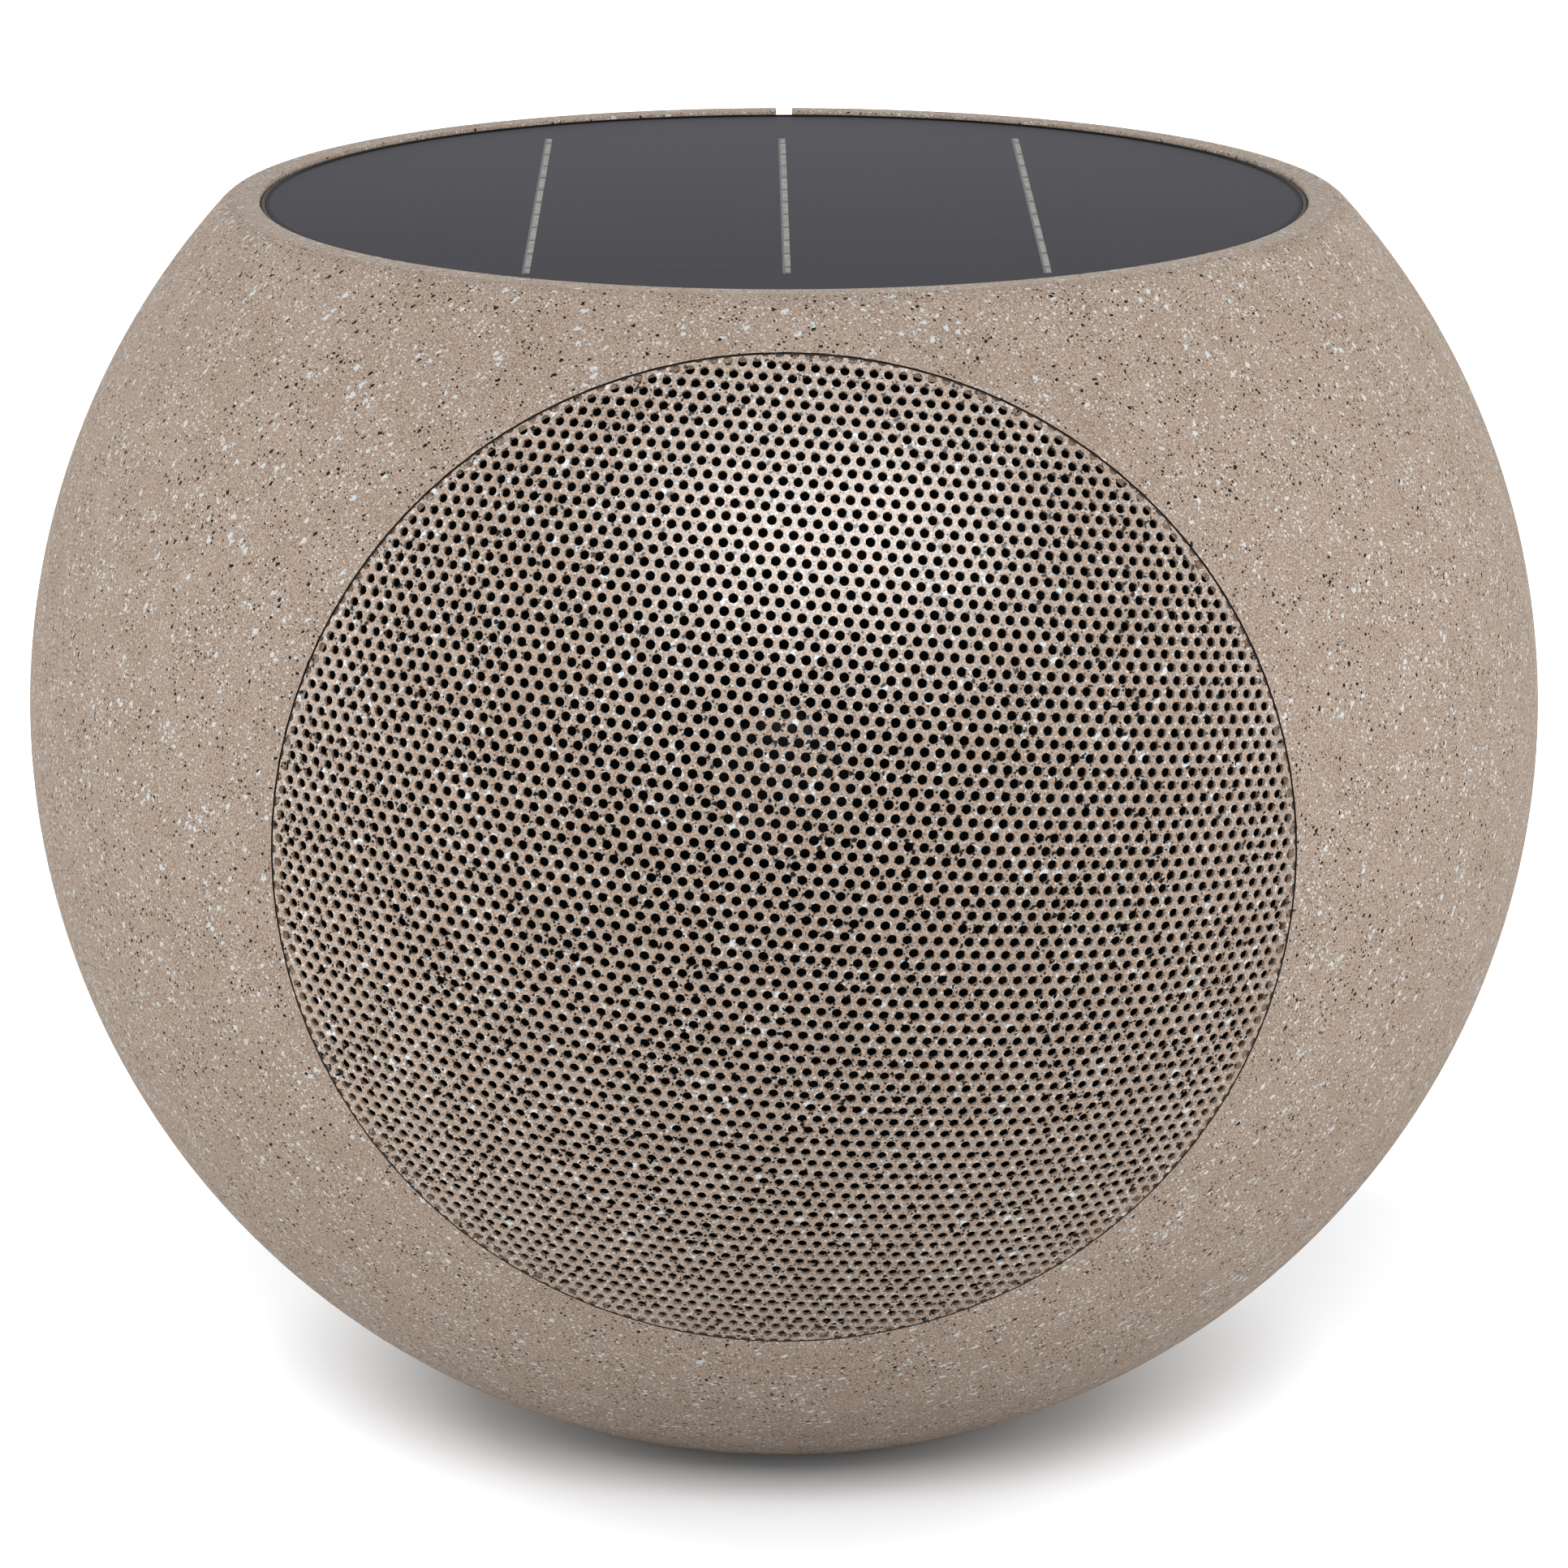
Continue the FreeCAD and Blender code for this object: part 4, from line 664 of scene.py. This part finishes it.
strip_low, strip_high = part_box("panel_strips")
ribbon_material = speckled("strip_metal", (166, 165, 159), (128, 127, 122), 0.5, 0.12 * MM, 0.02 * MM)
bed_material = speckled("strip_bed", (86, 87, 90), (72, 73, 76), 0.5, 0.2 * MM)
strip_spacing = (strip_high.x - strip_low.x - STRIP_WIDTH) / 2
ribbon_front = strip_low.y - RIBBON_FRONT
ribbon_back = strip_high.y + RIBBON_BACK
ribbons = NodeTree("ribbons", {
    "Spacing": ("Float", strip_spacing),
    "Length": ("Float", ribbon_back - ribbon_front),
    "Width": ("Float", STRIP_WIDTH * (1 - BED_SHARE)),
    "Thickness": ("Float", strip_high.z - strip_low.z),
    "Segments": ("Int", RIBBON_SEGMENTS),
    "Gap": ("Float", SEGMENT_GAP),
    "Stub Length": ("Float", STUB_LENGTH),
    "Stub Width": ("Float", STUB_WIDTH),
    "Place": ("Vector", (STRIP_WIDTH * BED_SHARE / 2, (ribbon_front + ribbon_back) / 2,
                         (strip_low.z + strip_high.z) / 2 + RIBBON_PROUD)),
    "Lean": ("Float", RIBBON_LEAN),
    "Material": ("Material", ribbon_material),
})
given = ribbons.inputs
run = ribbons.maths("SUBTRACT", given["Length"], ribbons.maths("MULTIPLY", given["Stub Length"], 2.0))
pitch = ribbons.maths("DIVIDE", run, given["Segments"])
segment = ribbons.add("GeometryNodeMeshCube", {"Size": ribbons.joined(
    given["Width"], ribbons.maths("SUBTRACT", pitch, given["Gap"]), given["Thickness"])})
first = ribbons.maths("MULTIPLY", ribbons.maths("SUBTRACT", pitch, run), 0.5)
segment_line = ribbons.add("GeometryNodeMeshLine", {
    "Count": given["Segments"], "Start Location": ribbons.joined(0.0, first, 0.0),
    "Offset": ribbons.joined(0.0, pitch, 0.0)})
segments = ribbons.add("GeometryNodeInstanceOnPoints", {"Points": segment_line.outputs[0],
                                                        "Instance": segment.outputs[0]})
stub = ribbons.add("GeometryNodeMeshCube", {"Size": ribbons.joined(
    given["Stub Width"], ribbons.maths("SUBTRACT", given["Stub Length"], given["Gap"]), given["Thickness"])})
stub_reach = ribbons.maths("MULTIPLY", ribbons.maths("ADD", run, given["Stub Length"]), 0.5)
stub_line = ribbons.add("GeometryNodeMeshLine", {
    "Count": 2, "Start Location": ribbons.joined(0.0, ribbons.maths("MULTIPLY", stub_reach, -1.0), 0.0),
    "Offset": ribbons.joined(0.0, ribbons.maths("MULTIPLY", stub_reach, 2.0), 0.0)})
stubs = ribbons.add("GeometryNodeInstanceOnPoints", {"Points": stub_line.outputs[0],
                                                     "Instance": stub.outputs[0]})
ribbon = ribbons.add("GeometryNodeJoinGeometry")
ribbons.tree.links.new(segments.outputs[0], ribbon.inputs[0])
ribbons.tree.links.new(stubs.outputs[0], ribbon.inputs[0])
ribbon_line = ribbons.add("GeometryNodeMeshLine", {
    "Count": 3, "Start Location": ribbons.joined(ribbons.maths("MULTIPLY", given["Spacing"], -1.0), 0.0, 0.0),
    "Offset": ribbons.joined(given["Spacing"], 0.0, 0.0)})
three = ribbons.add("GeometryNodeInstanceOnPoints", {"Points": ribbon_line.outputs[0],
                                                     "Instance": ribbon.outputs[0]})
placed = ribbons.add("GeometryNodeTransform", {"Geometry": three.outputs[0], "Translation": given["Place"]})
placed = ribbons.add("GeometryNodeTransform", {"Geometry": placed.outputs[0],
                                               "Rotation": ribbons.joined(0.0, 0.0, given["Lean"])})
ribbon_mesh = ribbons.finish("ribbon_segments", placed.outputs[0])
ribbon_piece = new_piece("ribbon_segments", ribbon_mesh, ribbon_material)
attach(ribbon_piece, "housing")
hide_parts("panel_strips")

BEAD_STEPS = 10
BEAD_PROUD = 0.25 * MM
BEAD_RADIUS = 0.49 * MM
BEAD_OFFSET = 0.5 * MM
BEAD_FOOT = 1 * MM
bead_middle = panel_high.x + BEAD_OFFSET
bead_level = panel_high.z + BEAD_PROUD - BEAD_RADIUS - ball_centre.z
bead_profile = [(bead_middle + side * BEAD_RADIUS, bead_level - BEAD_FOOT) for side in (-1, 1)]
for step in range(BEAD_STEPS + 1):
    angle = math.pi * step / BEAD_STEPS
    bead_profile.append((bead_middle + BEAD_RADIUS * math.cos(angle),
                         bead_level + BEAD_RADIUS * math.sin(angle)))
bead_mesh = turned_ring("panel_bead", bead_profile)
about_centre = Matrix.Translation(ball_centre) @ Matrix.Rotation(-math.pi / 2, 4, "X")
bead_mesh.transform(about_centre @ Matrix.Translation(-ball_centre))
bead_rubber = speckled("bead_rubber", (13, 13, 13), (9, 9, 9), 0.4, 0.4 * MM, specular=0.06)
panel_bead = new_piece("panel_bead", bead_mesh, bead_rubber)
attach(panel_bead, "housing")

bed_top = strip_high.z + BED_PROUD
bed_boxes, fill_boxes = [], []
for side in (-1, 0, 1):
    middle = side * strip_spacing
    bed_boxes.append(((middle - STRIP_WIDTH / 2, ribbon_front, strip_low.z),
                      (middle + STRIP_WIDTH / 2, ribbon_back, bed_top)))
    fill_boxes.append(((middle - STRIP_WIDTH / 2, strip_low.y, strip_low.z),
                       (middle + STRIP_WIDTH / 2, strip_high.y, strip_high.z)))
groove_fill = new_piece("groove_fill", boxes("groove_fill", fill_boxes), panel_material)
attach(groove_fill, "housing")
bed_mesh = boxes("ribbon_beds", bed_boxes)
bed_mesh.transform(Matrix.Rotation(RIBBON_LEAN, 4, "Z"))
ribbon_beds = new_piece("ribbon_beds", bed_mesh, bed_material)
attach(ribbon_beds, "housing")

# Driver and baffle: a black moulded cup behind the grille holds a small full-range driver with a pressed
# steel basket, a rubber roll edge, a paper cone and a glossy dust cap. Only glints show through the holes.
INNER_GLOSS = 0.08
black_plastic = speckled("black_plastic", (15, 12, 11), (11, 9, 8), 0.55, 0.5 * MM, 0.02 * MM,
                         specular=INNER_GLOSS)
dress(black_plastic, "front_baffle", "panel_terminal_box", "battery_tray", "battery_strap", "terminal_strip")
frame_paint = speckled("frame_paint", (14, 12, 11), (10, 9, 8), 0.5, 0.3 * MM, 0.01 * MM,
                       specular=INNER_GLOSS)
dress(frame_paint, "driver_frame")
cone_paper = speckled("cone_paper", (13, 11, 10), (18, 16, 15), 0.75, 0.6 * MM, 0.05 * MM,
                      specular=INNER_GLOSS)
dress(cone_paper, "cone")
cap_plastic = speckled("cap_plastic", (16, 16, 16), (22, 22, 22), 0.22, 0.6 * MM, specular=0.1)
dress(cap_plastic, "dust_cap")
black_screw = speckled("black_screw", (20, 18, 17), (14, 13, 12), 0.55, 0.3 * MM, 0.02 * MM,
                       specular=INNER_GLOSS)
dress(black_screw, "baffle_screws", "driver_screws")
coil_wire = speckled("coil_wire", (150, 84, 48), (122, 66, 38), 0.4, 0.2 * MM, 0.02 * MM, metallic=0.8)
dress(coil_wire, "voice_coil")
spider_cloth = speckled("spider_cloth", (168, 134, 72), (142, 110, 58), 0.85, 0.4 * MM, 0.08 * MM)
dress(spider_cloth, "spider")
motor_steel = speckled("motor_steel", (150, 152, 152), (126, 128, 129), 0.38, 0.4 * MM, metallic=1.0)
dress(motor_steel, "front_plate", "yoke")
ferrite = speckled("ferrite", (46, 46, 48), (36, 36, 38), 0.6, 0.5 * MM, 0.04 * MM)
dress(ferrite, "magnet")
surround_rubber = speckled("surround_rubber", (13, 12, 11), (17, 16, 15), 0.6, 0.5 * MM, 0.02 * MM,
                           specular=INNER_GLOSS)
surround = new_piece("roll_surround", smooth_copy("surround"), surround_rubber)
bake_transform(surround)
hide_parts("surround")

# Seals and foot: soft black rubber. The foot is a ring pressed into a groove under the ball, and the flat
# rings lie under the panel, the baffle and the driver.
foot_rubber = speckled("foot_rubber", (34, 33, 32), (27, 26, 26), 0.8, 0.5 * MM, 0.04 * MM)
dress(foot_rubber, "rubber_foot")
seal_rubber = speckled("seal_rubber", (24, 24, 24), (19, 19, 19), 0.75, 0.4 * MM, 0.03 * MM)
dress(seal_rubber, "panel_seal", "baffle_seal", "driver_seal")

# Rear controls: a dark moulded insert in the recess with four rubber buttons, a hinged rubber cover over the
# charging socket, a light and two screws. The button signs are printed.
SIGN_LINE = 0.55 * MM
SIGN_DEPTH = 0.35 * MM
SIGN_PROUD = 0.04 * MM
SIGN_ARM = 3.6 * MM
POWER_RADIUS = 1.6 * MM
POWER_STEM = 1.9 * MM
POWER_RISE = 1.2 * MM
WAVE_DROP = -1.4 * MM
WAVES = ((0.5 * MM, 0, 359), (1.5 * MM, 40, 140), (2.6 * MM, 45, 135))
control_plastic = speckled("control_plastic", (62, 56, 51), (54, 49, 45), 0.6, 0.35 * MM, 0.04 * MM)
dress(control_plastic, "control_panel")
button_rubber = speckled("button_rubber", (38, 36, 35), (31, 30, 29), 0.62, 0.4 * MM, 0.02 * MM)
dress(button_rubber, "link_button", "volume_up_button", "volume_down_button", "power_button")
cover_rubber = speckled("cover_rubber", (36, 34, 33), (30, 29, 28), 0.7, 0.4 * MM, 0.03 * MM)
dress(cover_rubber, "port_cover")
socket_steel = speckled("socket_steel", (176, 178, 180), (150, 152, 154), 0.3, 0.4 * MM, metallic=1.0)
dress(socket_steel, "charge_socket")
light_lens = speckled("light_lens", (196, 214, 200), (180, 202, 186), 0.25, 0.6 * MM, clear=0.5)
dress(light_lens, "status_light")
screw_steel = speckled("screw_steel", (140, 141, 142), (112, 113, 115), 0.35, 0.3 * MM, metallic=1.0)
dress(screw_steel, "control_screws", "board_screws", "tray_screws", "strap_screws")
sign_ink = speckled("sign_ink", (206, 202, 196), (192, 188, 182), 0.6, 0.3 * MM)


def bar(width, height):
    return [(-width / 2, -height / 2), (width / 2, -height / 2),
            (width / 2, height / 2), (-width / 2, height / 2)]


def bow(radius, start, finish, lift=0.0, steps=20):
    """A curved line of the sign's width, from one angle to another, in degrees from the right."""
    outer, inner = [], []
    for step in range(steps + 1):
        angle = math.radians(start + (finish - start) * step / steps)
        for reach, side in ((radius + SIGN_LINE / 2, outer), (radius - SIGN_LINE / 2, inner)):
            side.append((reach * math.cos(angle), reach * math.sin(angle) + lift))
    return outer + inner[::-1]


def shifted(outline, rise):
    return [(x, z + rise) for x, z in outline]


def print_sign(button, outlines):
    low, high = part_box(button)
    middle = (low + high) / 2
    work = bmesh.new()
    for outline in outlines:
        rings = []
        for level in (high.y - SIGN_DEPTH, high.y + SIGN_PROUD):
            rings.append([work.verts.new((middle.x + x, level, middle.z + z)) for x, z in outline])
        work.faces.new(rings[0])
        work.faces.new(rings[1][::-1])
        for number in range(len(outline)):
            following = (number + 1) % len(outline)
            work.faces.new((rings[0][number], rings[1][number], rings[1][following], rings[0][following]))
    bmesh.ops.recalc_face_normals(work, faces=work.faces)
    mesh = bpy.data.meshes.new(f"{button}_sign")
    work.to_mesh(mesh)
    work.free()
    sign = new_piece(f"{button}_sign", mesh, sign_ink)
    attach(sign, button)


print_sign("volume_up_button", [bar(SIGN_ARM, SIGN_LINE)]
           + [shifted(bar(SIGN_LINE, SIGN_ARM / 2), side * SIGN_ARM / 4) for side in (1, -1)])
print_sign("volume_down_button", [bar(SIGN_ARM, SIGN_LINE)])
print_sign("power_button", [bow(POWER_RADIUS, 125, 415), shifted(bar(SIGN_LINE, POWER_STEM), POWER_RISE)])
print_sign("link_button", [bow(*wave, WAVE_DROP) for wave in WAVES])

# Electronics inside: a green board on posts behind the recess with its switches, radio, heat sink, capacitors
# and lead sockets, two cells strapped in a tray on the floor, and insulated leads between them.
board_laminate = speckled("board_laminate", (28, 74, 48), (24, 62, 41), 0.4, 0.6 * MM)
dress(board_laminate, "main_board", "radio_module")
switch_plastic = speckled("switch_plastic", (30, 30, 31), (24, 24, 25), 0.5, 0.3 * MM, 0.01 * MM)
dress(switch_plastic, "switches")
sink_metal = speckled("sink_metal", (120, 122, 124), (104, 106, 108), 0.42, 0.4 * MM, metallic=1.0)
dress(sink_metal, "heat_sink")
capacitor_sleeve = speckled("capacitor_sleeve", (26, 34, 62), (21, 28, 52), 0.4, 0.5 * MM)
dress(capacitor_sleeve, "capacitors")
socket_plastic = speckled("socket_plastic", (222, 218, 206), (206, 202, 190), 0.5, 0.4 * MM)
dress(socket_plastic, "lead_sockets")
cell_sleeve = speckled("cell_sleeve", (38, 92, 138), (33, 80, 122), 0.38, 0.8 * MM)
dress(cell_sleeve, "battery_cells")
lead_jacket = speckled("lead_jacket", (34, 33, 33), (27, 27, 27), 0.55, 0.5 * MM)
dress(lead_jacket, "battery_lead", "speaker_lead", "panel_lead")

# Stage: a plain pale floor, a white surround and soft lights placed as in a small studio, with a camera at
# the photograph's viewing angle. Some lamps reach only the floor, the grille or the object.
CAMERA_PLACE = Vector((0, -1.1465, 0.4142))
CAMERA_PITCH = math.radians(75.248)
LENS = 152.87
camera_data = bpy.data.cameras.new("camera")
camera_data.lens = LENS
camera_data.sensor_width = 36
camera = bpy.data.objects.new("camera", camera_data)
camera.location = CAMERA_PLACE
camera.rotation_euler = (CAMERA_PITCH, 0, 0)
bpy.context.scene.collection.objects.link(camera)
bpy.context.scene.camera = camera

FLOOR_REACH = 6
CLEAR_FLOOR = 0.30
WHITE_FLOOR = 0.85
floor_mesh = bpy.data.meshes.new("floor")
floor_corners = [(x * FLOOR_REACH, y * FLOOR_REACH, 0) for x, y in ((-1, -1), (1, -1), (1, 1), (-1, 1))]
floor_mesh.from_pydata(floor_corners, [], [(0, 1, 2, 3)])
FLOOR_SEEN = (246, 248, 250)
FLOOR_BOUNCE = (156, 156, 156)
FLOOR_FILL = 0.03
floor_material, floor_tree, floor_shader = new_material("floor", FLOOR_SEEN, 0.9)
floor_shader.inputs["Specular IOR Level"].default_value = 0.0
floor_place = floor_tree.nodes.new("ShaderNodeTexCoord").outputs["Object"]
floor_reach = floor_tree.nodes.new("ShaderNodeVectorMath")
floor_reach.operation = "LENGTH"
floor_tree.links.new(floor_place, floor_reach.inputs[0])
floor_rays = floor_tree.nodes.new("ShaderNodeLightPath")
far = levels(floor_tree, floor_reach.outputs["Value"], CLEAR_FLOOR, WHITE_FLOOR, 0.0, 1.0)
glow = math_node(floor_tree, "MAXIMUM", far, FLOOR_FILL)
floor_tree.links.new(math_node(floor_tree, "MULTIPLY", glow, floor_rays.outputs["Is Camera Ray"]),
                     floor_shader.inputs["Emission Strength"])
floor_shader.inputs["Emission Color"].default_value = (1, 1, 1, 1)
floor_tint = mixed(floor_tree, floor_rays.outputs["Is Camera Ray"], linear(*FLOOR_BOUNCE),
                   linear(*FLOOR_SEEN))
floor_tree.links.new(floor_tint, floor_shader.inputs["Base Color"])
floor = new_piece("floor", floor_mesh, floor_material)
floor_only = bpy.data.collections.new("floor_only")
floor_only.objects.link(floor)
grille_only = bpy.data.collections.new("grille_only")
grille_only.objects.link(grille)
object_only = bpy.data.collections.new("object_only")
for piece in bpy.context.scene.objects:
    if piece.type == "MESH" and piece != floor:
        object_only.objects.link(piece)

AMBIENT = 0.36
world = bpy.data.worlds.new("studio")
world.use_nodes = True
bpy.context.scene.world = world
sky = world.node_tree
rays = sky.nodes.new("ShaderNodeLightPath")
seen = math_node(sky, "MAXIMUM", rays.outputs["Is Camera Ray"], rays.outputs["Is Glossy Ray"])
seen = math_node(sky, "MAXIMUM", seen, rays.outputs["Is Transmission Ray"])
strength = levels(sky, seen, 0.0, 1.0, AMBIENT, 1.0)
sky.links.new(strength, sky.nodes["Background"].inputs["Strength"])
sky.nodes["Background"].inputs["Color"].default_value = (1, 1, 1, 1)


def softbox(name, place, width, height, power, receivers=None, diffuse=True, glossy=True):
    """A soft lamp turned towards the ball. With receivers it lights those alone, and it may be left out of
    the diffuse light or of the reflections."""
    light = bpy.data.lights.new(name, "AREA")
    light.shape = "RECTANGLE"
    light.size = width
    light.size_y = height
    light.energy = power
    box = bpy.data.objects.new(name, light)
    box.location = place
    box.rotation_euler = (ball_centre - Vector(place)).to_track_quat("-Z", "Y").to_euler()
    bpy.context.scene.collection.objects.link(box)
    if receivers:
        box.light_linking.receiver_collection = receivers
    box.visible_diffuse = diffuse
    box.visible_glossy = glossy


softbox("front_softbox", (0.04, -0.95, 0.95), 0.75, 0.32, 3.25)
softbox("gloss_softbox", (0.14, -0.98, 0.88), 1.0, 0.5, 54.0, grille_only, diffuse=False)
softbox("left_softbox", (-1.15, -0.35, 0.4), 0.35, 0.9, 4.25)
softbox("grille_left", (-1.15, -0.35, 0.4), 0.35, 0.9, 4.2, grille_only)
softbox("back_softbox", (0.25, 1.25, 0.35), 0.7, 0.6, 3.2, object_only, glossy=False)
softbox("right_softbox", (1.15, -0.35, 0.4), 0.35, 0.9, 4.9)
softbox("grille_right", (1.15, -0.35, 0.4), 0.35, 0.9, 1.2, grille_only)
softbox("floor_front", (-0.05, -1.5, 1.15), 1.0, 0.6, 24, floor_only)
softbox("floor_left", (-1.2, 0.0, 1.7), 0.9, 1.2, 29.5, floor_only)
softbox("floor_right", (1.2, 0.0, 1.7), 0.9, 1.2, 24, floor_only)

bpy.context.scene.view_settings.view_transform = "Standard"
